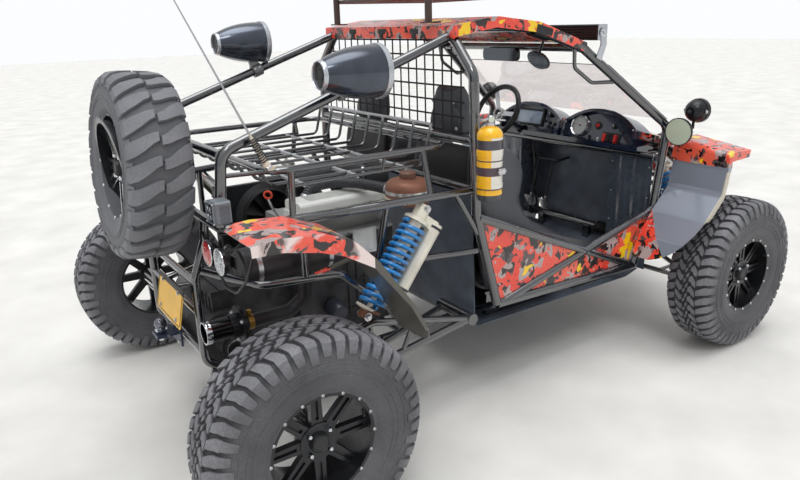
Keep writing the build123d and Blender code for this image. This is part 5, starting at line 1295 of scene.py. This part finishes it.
fit_out({
    "dipstick_tube": (ZINC, tube(route((0.337, -0.146, 0.688), (0.314, -0.148, 0.838), (0.268, -0.150, 0.928),
                                       (0.252, -0.150, 0.971), steps=6), 0.0050, 10)),
    "dipstick_loop": (plain("orange_red", (216, 70, 40), 0.35),
                      hoop(at(0.252, -0.150, 0.988), (0.62, 0.78, 0.2), 0.0155, 0.0045)),
    "belt_pulleys": (CAST, *[moved(pulley(r), at(BELT_X, y, z), facing(AHEAD)) for y, z, r in PULLEYS]),
    "drive_belt": (RUBBER, drive_belt(PULLEYS, BELT_X)),
    "oil_filter": (plain("filter_blue_grey", (52, 56, 66), 0.35),
                   moved(filter_can, at(0.470, -0.231, 0.470), facing((0, -1, -0.15)))),
    "block_ribs": (ENGINE_FINISH, *[blocks(size, 0.003, spots(x, y, z), 2) for size, x, y, z in (
        ((0.010, 0.012, 0.300), np.linspace(0.560, 0.770, 6), -0.2320, 0.560),
        ((0.340, 0.012, 0.010), 0.640, -0.2320, RIB_HEIGHTS),
        ((0.010, 0.012, 0.300), np.linspace(0.380, 0.770, 9), 0.1920, 0.560),
        ((0.420, 0.012, 0.010), 0.560, 0.1920, RIB_HEIGHTS))]),
    "gearbox_ribs": (ENGINE_FINISH,
                     blocks((0.012, 0.320, 0.008), 0.003, spots(np.linspace(0.010, 0.290, 7), 0, 0.633), 2),
                     blocks((0.008, 0.012, 0.250), 0.003, spots(-0.0320, np.linspace(-0.120, 0.120, 7), 0.480), 2)),
    "gearbox_cover": (ENGINE_FINISH, moved(cover_ring, at(-0.030, 0, 0.480), facing(BACK))),
    "gearbox_bolts": (ZINC, copies(hex_bolt(0.010, 0.007), about_x(0.080, angles(8)) + at(-0.0415, 0, 0.480),
                                   facing(BACK))),
    "intake_runners": (CAST, *[
        tube(route((x, 0.098, 0.806), (x, 0.150, 0.822), (x, 0.190, 0.790), (x, 0.200, 0.735), steps=6), 0.0185, 16)
        for x in np.linspace(0.410, 0.710, 4)]),
    "plenum": (CAST, moved(plenum, at(0.370, 0.215, 0.705), facing(AHEAD))),
    "starter": (IRON, moved(starter, at(0.380, 0.225, 0.470), facing(AHEAD))),
    # A radiator on the left: a pleated core between two tanks, a fan in its ring, hoses and struts
    "radiator_core": (plain("radiator_fins", (66, 68, 72), 0.5, 0.6, grain=300), moved(radiator_core(), RADIATOR)),
    "radiator_tanks": (SATIN_BLACK,
                       blocks((0.046, 0.060, 0.336), 0.010, spots((0.208, 0.652), 0.318, 0.778)),
                       blocks((0.052, 0.066, 0.010), 0.003,
                              spots((0.208, 0.652), 0.318, 0.778 + np.linspace(-0.12, 0.12, 4)), 2)),
    "fan_shroud": (SATIN_BLACK, moved(shroud, FAN + (0, 0.012, 0), fan_turn)),
    "radiator_fan": (SATIN_BLACK, moved(fan, FAN + (0, -0.004, 0), fan_turn)),
    "radiator_hoses": (RUBBER, tube(top_hose, 0.019, 20), tube(low_hose, 0.019, 20)),
    "radiator_clamps": (ZINC, *[clamps(path, (3,), 2, 0.0196, 0.010, 0.0014) for path in (top_hose, low_hose)]),
    "radiator_struts": (BLACK, bars([((x, 0.344, 0.936), (x, 0.590, 0.975)) for x in (0.230, 0.630)]
                                    + [((x, 0.318, 0.618), (x, 0.190, 0.560)) for x in (0.230, 0.630)], 0.0075)),
})

# Dampers: bolts through the eyes, rings where the bodies screw together, coils, and the rear ones' reservoirs
DAMPERS = {"rear": ((0.400, 0.612, 0.566), (0.712, 0.600, 0.955), 13.5),
           "front": ((2.410, 0.640, 0.556), (2.410, 0.452, 0.905), 9.5)}
eye_bolts, damper_rings, coils, reservoir_bands, reservoir_valves = [], [], [], [], []
valve = turned([(0, 0), (0, 0.012), (0.010, 0.011), (0.012, 0.008), (0.012, 0)], 24)
for end, (low, high, turns) in DAMPERS.items():
    for side, _ in SIDES:
        foot, top = at(low[0], side * low[1], low[2]), at(high[0], side * high[1], high[2])
        axis, length = unit(top - foot), np.linalg.norm(top - foot)
        across = unit(np.cross(axis, np.cross((0, 1.0, 0), axis)))
        eye_bolts += [moved(hex_bolt(0.022, 0.014), eye + across * way * 0.0250, facing(across * way))
                      for eye in (foot + axis * 0.012, top - axis * 0.012) for way in (-1, 1)]
        damper_rings += [band(foot + axis * share * length, axis, 0.0268, 0.004, 0.0022, 40)
                         for share in (0.52, 0.60, 0.64, 0.68)]
        coils.append(coil(foot + axis * 0.0555, top - axis * 0.0835, 0.0450, 0.0086, turns, 28, 12))
        if end == "rear":
            can = foot + unit(AHEAD - axis * axis[0]) * 0.092
            reservoir_bands += [band(can + axis * share * length, axis, 0.0308, 0.010, 0.0020, 40)
                                for share in (0.345, 0.895)]
            reservoir_valves.append(moved(valve, can + axis * 0.93 * length, facing(axis)))
piece("damper_coils", gathered(*coils), SPRING_FINISH, replaces=("shock_springs",))
fit_out({
    "damper_bolts": (ZINC, *eye_bolts), "damper_rings": (ZINC, *damper_rings),
    "reservoir_bands": (plain("band_dark", (58, 60, 66), 0.4, 0.5), *reservoir_bands),
    "reservoir_valves": (ZINC, *reservoir_valves)})

# Boots on the half shafts and on the steering rack
fit_out({
    "shaft_boots": (RUBBER, both_sides(gathered(
        bellows((0, -0.190, 0.445), (0, -0.292, 0.434), 0.056, 0.034, 0.006, 6),
        bellows((0, -0.612, 0.390), (0, -0.690, 0.383), 0.034, 0.050, 0.006, 5)))),
    "shaft_clamps": (ZINC, both_sides(gathered(*[band(at(0, y, z), (0, -1, -0.13), 0.0345, 0.009, 0.0016)
                                                 for y, z in ((-0.294, 0.434), (-0.610, 0.390))])))})
fit_out({"rack_boots": (
    RUBBER, bellows((2.270, -0.176, 0.470), (2.270, -0.340, 0.470), 0.029, 0.017, 0.006, 9, 28),
    bellows((2.270, 0.331, 0.470), (2.270, 0.480, 0.470), 0.029, 0.017, 0.006, 8, 28))})


def shield_sheet(half_width=0.058, half_height=0.056, turn_in=0.012, thick=0.002):
    """A sheet whose edges turn in: it stands off by turn_in * (|u|^12 + |v|^12 - |u v|^12)."""
    u, v = np.linspace(-1, 1, 17)[:, None], np.linspace(-1, 1, 17)[None]
    off = -turn_in * (np.abs(u) ** 12 + np.abs(v) ** 12 - np.abs(u * v) ** 12)
    face = np.stack(np.broadcast_arrays(u * half_width, off, v * half_height), axis=-1)
    return grid(np.concatenate([face, (face + (0, thick, 0))[:, ::-1]], axis=1), wrap_columns=True)


# Tail: exhaust trim and the heat shield, plate, tow ball and the spare's fittings

lip = turned([(0.006, 0.0375), (0.007, 0.0395), (0.006, 0.0430), (-0.002, 0.0445), (-0.014, 0.0440),
              (-0.016, 0.0415), (-0.014, 0.0385), (0.000, 0.0372)], 56, True)
BRASS = plain("clamp_brass", (176, 138, 74), 0.35, 0.85)
flange_spots = about_x(0.059, np.radians([30, 150, 270])) + at(-0.026, -0.420, 0.590)
fit_out({
    "heat_shield": (plain("bare_sheet", (206, 209, 210), 0.34, 0.3),
                    moved(shield_sheet(), at(0.598, -0.310, 0.762))),
    "heat_shield_struts": (ZINC, bars([((0.570, -0.308, z), (0.570, -0.226, z - 0.010)) for z in (0.735, 0.790)],
                                      0.004)),
    "exhaust_lip": (CHROME, moved(lip, at(-0.150, -0.420, 0.590), facing(BACK))),
    "exhaust_bands": (ZINC, *[band(at(x, -0.440, 0.812), AHEAD, 0.0722, 0.018, 0.0022, 64) for x in (0.050, 0.335)]),
    "pipe_clamp": (BRASS, band(at(0.020, -0.420, 0.590), AHEAD, 0.0272, 0.020, 0.0030, 48)),
    "clamp_screw": (BRASS, block((0.018, 0.014, 0.024), 0.003, at(0.020, -0.420, 0.6265), steps=2),
                    moved(hex_bolt(0.011, 0.007), at(0.020, -0.4275, 0.6265), facing((0, -1, 0)))),
    "flange_bolts": (ZINC, copies(hex_bolt(0.013, 0.009), flange_spots, facing(BACK))),
})

PLATE_TILT = math.radians(12)
plate_out = np.array([-math.cos(PLATE_TILT), 0, math.sin(PLATE_TILT)])
plate_turn = np.stack([[0, -1, 0], [math.sin(PLATE_TILT), 0, math.cos(PLATE_TILT)], plate_out], axis=1)
PLATE = at(-0.196, -0.170, 0.655) + plate_out * 0.0013
corner = np.linspace(0, np.pi / 2, 5)
edge_path = np.concatenate([about_z(0.010, corner + q * np.pi / 2) + (sx * 0.132, sy * 0.057, 0)
                            for q, (sx, sy) in enumerate(((1, 1), (-1, 1), (-1, -1), (1, -1)))])
fit_out({
    "plate_border": (plain("plate_dark", (44, 38, 30), 0.5),
                     moved(tube(edge_path, 0.0016, 8, True, (0, 0, 1)), PLATE, plate_turn)),
    "plate_bolts": (ZINC, moved(copies(hex_bolt(0.012, 0.007), [(x, y, 0) for y in (0.052, -0.052)
                                                                for x in (-0.095, 0.095)]), PLATE, plate_turn)),
})
BALL = at(-0.206, 0, 0.492)
ball_rows = [(-0.030, 0), (-0.030, 0.024), (-0.024, 0.026), (-0.020, 0.0165), (-0.016, 0.0152), (-0.016, 0)]
fit_out({
    "ball_collar": (CHROME, moved(turned(ball_rows, 36), BALL)),
    "ball_nut": (ZINC, moved(hex_bolt(0.036, 0.020), BALL + (0, 0, -0.052), facing(-UP, (1, 0, 0)))),
    "hitch_bolts": (ZINC, copies(hex_bolt(0.016, 0.010), spots(-0.147, (-0.045, 0.045), (0.412, 0.482)),
                                 facing(BACK))),
    "hitch_pin": (ZINC, hoop(at(-0.190, 0.052, 0.452), (0, 1, 0), 0.014, 0.0022),
                  bar(at(-0.190, -0.046, 0.446), at(-0.190, 0.052, 0.446), 0.0055, 14)),
})

# The spare: bright machined edges on its spokes, bolts round the rim, a cap and nuts that hold it
out_turn = np.stack([spare_turn[:, 0], spare_turn[:, 2], -spare_turn[:, 1]], axis=1)
MACHINED = plain("machined_face", (202, 204, 208), 0.22, 0.95, grain=400, depth=0.2)
spoke_edges = [tube([(0.056, way * 0.0195, 0.0622), (0.110, way * 0.0185, 0.0622), (0.166, way * 0.0175, 0.0622)],
                    0.0030, 8, level=(0, 0, 1), flat=0.5) for way in (-1, 1)]
spare_nut = turned([(0, 0), (0, 0.0105), (0.014, 0.0105), (0.020, 0.007), (0.021, 0)], 6)
spare_cap = turned([(0.060, 0), (0.060, 0.033), (0.070, 0.032), (0.080, 0.028), (0.082, 0.024), (0.079, 0.022),
                    (0.079, 0)], 36)
fit_out({name: (finish, moved(part, SPARE_CENTRE, out_turn)) for name, finish, part in (
    ("spare_spoke_edges", MACHINED, gathered(*[moved(edge, turn=spin) for spin in spins(angles(6))
                                               for edge in spoke_edges])),
    ("spare_lip", MACHINED, hoop((0, 0, 0.0875), UP, 0.1875, 0.0042, 96, 8)),
    ("spare_ring_bolts", ZINC, copies(button_bolt(0.012, 0.005), about_z(0.1790, angles(12), 0.0888))),
    ("spare_nuts", CHROME, copies(spare_nut, about_z(0.050, angles(4, np.pi / 4), 0.056))),
    ("spare_cap", SATIN_BLACK, spare_cap))})

# The coil and nut at the foot of the antenna
ANTENNA_FOOT = at(0.096, -0.548, 1.182)
antenna_line = unit(at(-0.330, -0.548, 2.105) - ANTENNA_FOOT)
antenna_nut = turned([(0, 0), (0, 0.017), (0.010, 0.017), (0.014, 0.012), (0.014, 0)], 6)
fit_out({
    "antenna_coil": (SATIN_BLACK, coil(ANTENNA_FOOT + antenna_line * 0.026, ANTENNA_FOOT + antenna_line * 0.120,
                                       0.0112, 0.0022, 11)),
    "antenna_nut": (ZINC, moved(antenna_nut, ANTENNA_FOOT, facing(antenna_line, (0, 1, 0)))),
})

# Speaker pods: one outboard of the right stay, one on top of the left stay, both small end to the rear


def pod_shell(steps=24):
    """The can's outline, turned: from its small end the radius grows as 1 - (1 - t)^2.4 to its large end."""
    t = np.linspace(0, 1, steps)
    side_rows = np.stack([0.012 + 0.212 * t, 0.0500 + 0.0425 * (1 - (1 - t) ** 2.4)], axis=-1)
    return turned([(0.016, 0), (0.012, 0.049), *side_rows, (0.228, 0.089), (0.226, 0)], 72)


def grille(centre):
    """Eight rings and twelve spokes in front of a cone."""
    rings = [hoop(centre, AHEAD, r, 0.0012, 48, 6) for r in np.linspace(0.012, 0.084, 8)]
    ends = zip(about_x(0.008, angles(12)), about_x(0.0860, angles(12)))
    return gathered(*rings, *[bar(centre + start, centre + end, 0.0011, 6) for start, end in ends])


MOUTH_RING = turned([(0.2240, 0.0880), (0.2235, 0.0945), (0.2250, 0.0965), (0.2400, 0.0965), (0.2445, 0.0950),
                     (0.2460, 0.0920), (0.2440, 0.0880), (0.2380, 0.0840), (0.2280, 0.0830)], 72, True)
TAIL_RING = turned([(0.0130, 0.0440), (0.0040, 0.0435), (0.0005, 0.0440), (-0.0015, 0.0455), (0.0000, 0.0475),
                    (0.0060, 0.0500), (0.0125, 0.0512), (0.0145, 0.0495)], 72, True)
TAIL_DISC = turned([(0.0165, 0), (0.0125, 0.0445), (0.0100, 0.0435), (0.0085, 0.030), (0.0095, 0.020),
                    (0.0070, 0.017), (0.0065, 0)], 48)
POD_CONE = turned([(0.001, 0), (0.001, 0.080), (0.006, 0.0795), (0.011, 0.074), (0.009, 0.067), (0.005, 0.062),
                   (0.002, 0.034), (0.002, 0.026), (0.008, 0.019), (0.013, 0.009), (0.014, 0)], 56)
CONE = plain("speaker_cone", (30, 31, 33), 0.6, grain=500, depth=0.4)
GRILLE = plain("grille_black", (24, 25, 27), 0.35, 0.6)
POD_RING = plain("pod_ring_pale", (192, 196, 202), 0.25, 0.7, vary=0.06)
POD_PAINT = Finish("pod_metallic", (62, 68, 80), 0.24, 0.8, coat_weight=0.7, coat_roughness=0.06)
POD_PAINT.tones(POD_PAINT.cloud(7, 4, 0.3, 0.7), (54, 59, 70), (78, 85, 98)).grain(400, 2, 0.05, 0.0005)
STAY_LINE = unit([0.998, -0.025, 0.340])
for side, place, foot, x_clamp in ((-1, "right", at(0.280, -0.600, 1.481), 0.430),
                                   (1, "left", at(0.330, 0.500, 1.569), 0.520)):
    ahead = facing(AHEAD)
    mouth = foot + (0.2275, 0, 0)
    back_share = (0.950 - x_clamp) / 0.998
    stay = at(x_clamp, side * (0.475 + 0.025 * back_share), 1.588 - 0.340 * back_share)
    aim = foot + (x_clamp + REAR_AXLE_X - foot[0], 0, 0)
    reach_out = unit(aim - stay - STAY_LINE * ((aim - stay) @ STAY_LINE))
    block_turn = np.stack([STAY_LINE, np.cross(reach_out, STAY_LINE), reach_out], axis=1)
    bolt_spots = [stay + block_turn @ (u, v, 0.005) for u in (-0.012, 0.012) for v in (-0.026, 0.026)]
    piece(f"pod_shell_{place}", moved(pod_shell(), foot, ahead), POD_PAINT, replaces=("speaker_pods",))
    fit_out({f"pod_{name}_{place}": finish_and_parts for name, finish_and_parts in {
        "mouth_ring": (POD_RING, moved(MOUTH_RING, foot, ahead)),
        "tail_ring": (POD_RING, moved(TAIL_RING, foot, ahead)),
        "tail_disc": (SATIN_BLACK, moved(TAIL_DISC, foot, ahead)),
        "cone": (CONE, moved(POD_CONE, mouth, ahead)),
        "grille": (GRILLE, grille(mouth + (0.0135, 0, 0))),
        "screws": (ZINC, sheet_bolts(about_x(0.0920, angles(6, np.pi / 6)) + foot + (0.2450, 0, 0), AHEAD, 0.0065,
                                     0.0025)),
        "clamp": (CAST, band(stay, STAY_LINE, 0.0212, 0.044, 0.0090, 40),
                  block((0.040, 0.030, 0.030), 0.004, stay + reach_out * 0.034, block_turn),
                  block((0.040, 0.062, 0.010), 0.003, stay, block_turn)),
        "arm": (SATIN_BLACK, bar(stay + reach_out * 0.030,
                                 stay + reach_out * (np.linalg.norm(aim - stay) - 0.078), 0.0105)),
        "clamp_bolts": (ZINC, copies(hex_bolt(0.012, 0.008), bolt_spots, facing(reach_out, (0.3, 1, 0.2)))),
    }.items()})

# Three clips under the rear edge of the roof, and the bottle's pull ring, gauge and strap latch
clip = gathered(block((0.030, 0.062, 0.024), 0.006), block((0.014, 0.030, 0.030), 0.005, (-0.010, 0, -0.018)))
fit_out({"roof_clips": (SATIN_BLACK, copies(clip, spots(0.940, (-0.250, 0.0, 0.250), 1.604)))})
GAUGE_PLACE, gauge_turn = at(0.944, -0.7205, 1.280), facing((-0.35, -1, 0))
gauge_case = turned([(0, 0), (0, 0.0145), (0.007, 0.0145), (0.009, 0.013), (0.009, 0.0118), (0.0075, 0.0115),
                     (0.0075, 0)], 32)
gauge_dot = turned([(0.0076, 0), (0.0076, 0.0112), (0.0082, 0.0108), (0.0084, 0)], 28)
fit_out({
    "pull_ring": (CHROME, hoop(at(0.978, -0.731, 1.290), (0, 1, 0.2), 0.0135, 0.0015, 32, 8)),
    "bottle_gauge": (CHROME, moved(gauge_case, GAUGE_PLACE, gauge_turn)),
    "bottle_dial": (plain("dial_green", (206, 214, 196), 0.4), moved(gauge_dot, GAUGE_PLACE, gauge_turn)),
    "strap_latch": (ZINC, block((0.034, 0.012, 0.024), 0.003, at(0.962, -0.7665, 1.081)),
                    bar(at(0.940, -0.769, 1.081), at(0.984, -0.769, 1.081), 0.0030, 8)),
})

# Panel fixings: rows of domed screws along the edges of the side panels


def along_edges(corners, inset, pitch):
    """Points at an even pitch along a closed outline moved inwards by inset: each corner moves along the sum of its
    two edge normals, and each side is divided evenly."""
    p = np.asarray(corners, float)
    ahead = unit(np.roll(p, -1, axis=0) - p)
    area = np.sum(p[:, 0] * np.roll(p[:, 1], -1) - np.roll(p[:, 0], -1) * p[:, 1])
    normal = np.stack([-ahead[:, 1], ahead[:, 0]], axis=-1) * np.sign(area)
    before = np.roll(normal, 1, axis=0)
    inner = p + (normal + before) * inset / (1 + np.sum(normal * before, axis=1, keepdims=True))
    rows = []
    for start, end in zip(inner, np.roll(inner, -1, axis=0)):
        count = max(1, round(float(np.linalg.norm(end - start)) / pitch))
        rows.append(start + (end - start) * (np.arange(count)[:, None] + 0.5) / count)
    return np.concatenate(rows)


SIDE_PANEL = [(0.958, 0.868), (1.734, 0.590), (2.120, 0.700), (1.990, 0.425), (1.065, 0.458)]
edge_x, edge_z = along_edges(SIDE_PANEL, 0.034, 0.115).T
for side, place in SIDES:
    screws = np.stack([edge_x + REAR_AXLE_X, np.full(len(edge_x), side * 0.6418), edge_z], axis=-1)
    fit_out({f"side_panel_screws_{place}": (ZINC, sheet_bolts(screws, (0, side, 0), 0.011, 0.0035))})

# Beads where the cross tubes and the hoop's bars meet the cage: station, half width, height, radius and slope
CAGE_RADIUS = 0.021
BEADS = ((1.400, 0.482, 1.600, 0.016, (1, 0, -0.2)), (1.690, 0.505, 1.506, 0.018, (1, 0, -0.45)),
         (2.128, 0.640, 0.960, 0.018, (0.15, 0, 1)), (0.950, 0.626, 1.180, 0.017, (0, 0, 1)),
         (0.950, 0.630, 0.985, 0.017, (0, 0, 1)), (0.060, 0.345, 0.304, 0.015, (1, 0, 0)),
         (0.760, 0.345, 0.300, 0.015, (1, 0, 0)), (2.230, 0.345, 0.300, 0.015, (1, 0, 0)))
fit_out({"weld_beads": (BLACK, *[
    weld(at(x, side * half, z), (0, side, 0), slope, radius, CAGE_RADIUS)
    for x, half, z, radius, slope in BEADS for side in (-1, 1)])})

# Footwell: black sheets beside the toe board, with pressed ribs, and a rubber mat in front of each seat


def floor_mat(x_ends, y_ends, z, ribs=22):
    """A rubber mat: its height waves across with ribs, falls at the border, and stands on the floor."""
    u, v = np.linspace(0, 1, 13)[:, None], np.linspace(0, 1, ribs * 4 + 1)[None]
    high = 0.004 + 0.002 * (np.cos(2 * np.pi * ribs * v) > 0) + 0 * u
    high = high * (np.minimum(u, 1 - u) > 0) * (np.minimum(v, 1 - v) > 0)
    x = x_ends[0] + (x_ends[1] - x_ends[0]) * u + REAR_AXLE_X
    y = y_ends[0] + (y_ends[1] - y_ends[0]) * v
    top, below = (np.stack(np.broadcast_arrays(x, y, z + h), axis=-1) for h in (high, 0 * high - 0.0005))
    return grid(np.concatenate([top, below[:, ::-1]], axis=1), wrap_columns=True)


def pressed_sheet(corners, ribs, thick=0.003, deep=0.004):
    """A sheet over four corners: the middle surface is their even blend, ribs are waves cut flat at their crests, and
    the two faces stand half the thickness off it."""
    a, b, c, d = (at(*p) for p in corners)
    u, v = np.linspace(0, 1, 13)[:, None, None], np.linspace(0, 1, ribs * 8 + 1)[None, :, None]
    normal = unit(np.cross(b - a, d - a))
    border = np.clip(np.minimum(np.minimum(u, 1 - u) * 9, np.minimum(v, 1 - v) * 9), 0, 1)
    lift = deep * np.clip(1.6 * np.cos(2 * np.pi * ribs * v), -1, 1) * border
    sheet = (1 - u) * ((1 - v) * a + v * b) + u * ((1 - v) * d + v * c) + normal * lift
    return grid(np.concatenate([sheet + normal * thick / 2, (sheet - normal * thick / 2)[:, ::-1]], axis=1),
                wrap_columns=True)


# The footwell sheets are black, drawn as a lighter blue grey: a painted highlight that also lightens their shade.
PANEL_PAINTED_SHEEN = plain("panel_black", (78, 86, 98), 0.28, 0.1, coat_weight=0.6, coat_roughness=0.12)
for side, place in SIDES:
    inner, outer = side * 0.338, side * 0.600
    screws = spots(2.146, side * np.array([0.355, 0.585]), (0.42, 0.58, 0.74, 0.90))
    fit_out({
        f"footwell_board_{place}": (PANEL_PAINTED_SHEEN, pressed_sheet([
            (2.150, inner, 0.350), (2.150, outer, 0.350), (2.150, outer, 0.960), (2.150, inner, 0.960)], 3)),
        f"footwell_cheek_{place}": (PANEL_PAINTED_SHEEN, pressed_sheet([
            (2.150, inner, 0.350), (2.290, inner, 0.400), (2.340, inner, 0.960), (2.150, inner, 0.960)], 1)),
        f"footwell_screws_{place}": (ZINC, sheet_bolts(screws, BACK)),
        f"floor_mat_{place}": (RUBBER, floor_mat((1.700, 2.030), (side * SEAT_Y - 0.190, side * SEAT_Y + 0.190),
                                                 0.3275)),
    })

# Floor, light and camera

FLOOR_HALF = 40
floor_mesh = bpy.data.meshes.new("floor")
floor_mesh.from_pydata([(x * FLOOR_HALF, y * FLOOR_HALF, 0) for x, y in ((-1, -1), (1, -1), (1, 1), (-1, 1))], [],
                       [(0, 1, 2, 3)])
floor = bpy.data.objects.new("floor", floor_mesh)
scene.collection.objects.link(floor)
concrete = Finish("pale_floor", (214, 212, 208), 0.9)
concrete.tones(concrete.cloud(2.5, 6, 0.3, 0.7), (206, 204, 200), (222, 220, 216)).grain(60, 5, 0.2, 0.002)
floor_mesh.materials.append(concrete.material)

# The sky brightens from the horizon up, with a lamp's glow overhead, and the camera sees it as white.
world = bpy.data.worlds.new("studio")
scene.world = world
world.use_nodes = True
sky = Nodes(world.node_tree)
height = sky.node("SeparateXYZ", {0: sky.node("TexCoord", {}, "Generated")}, 2)
glow = sky.maths("ADD", sky.ramp(height, 0.0, 0.7, 0.60, 0.80), sky.ramp(height, 0.90, 0.96, 0.0, 4.0))
seen = sky.node("LightPath", {}, "Is Camera Ray")
background = sky.tree.nodes["Background"]
sky.put(sky.node("Mix", {0: seen, 2: glow, 3: 1.0}, data_type="FLOAT"), background.inputs["Strength"])
sky.put((0.97, 0.985, 1.0, 1.0), background.inputs["Color"])

sun = bpy.data.lights.new("overcast_sun", "SUN")
sun.energy = 0.5
sun.angle = math.radians(15)
sun_object = bpy.data.objects.new("overcast_sun", sun)
sun_object.rotation_euler = (math.radians(28), math.radians(-22), 0)
scene.collection.objects.link(sun_object)

CAMERA_PLACE = (-2.1071, -2.6713, 1.6468)
CAMERA_YAW, CAMERA_PITCH, CAMERA_ROLL = 0.9774, -0.3131, -0.0301
FOCAL_PIXELS, FRAME_PIXELS, SENSOR = 676.3, 800, 36.0
forward = np.array([math.cos(CAMERA_PITCH) * math.cos(CAMERA_YAW), math.cos(CAMERA_PITCH) * math.sin(CAMERA_YAW),
                    math.sin(CAMERA_PITCH)])
level_right = unit(np.cross(forward, (0, 0, 1)))
level_up = np.cross(level_right, forward)
right = math.cos(CAMERA_ROLL) * level_right + math.sin(CAMERA_ROLL) * level_up
up = math.cos(CAMERA_ROLL) * level_up - math.sin(CAMERA_ROLL) * level_right
lens_data = bpy.data.cameras.new("camera")
lens_data.sensor_width = SENSOR
lens_data.sensor_fit = "HORIZONTAL"
lens_data.lens = FOCAL_PIXELS / FRAME_PIXELS * SENSOR
camera = bpy.data.objects.new("camera", lens_data)
matrix = np.eye(4)
matrix[:3] = np.stack([right, up, -forward, CAMERA_PLACE], axis=1)
camera.matrix_world = Matrix(matrix.tolist())
scene.collection.objects.link(camera)
scene.camera = camera
scene.view_settings.view_transform = "Standard"
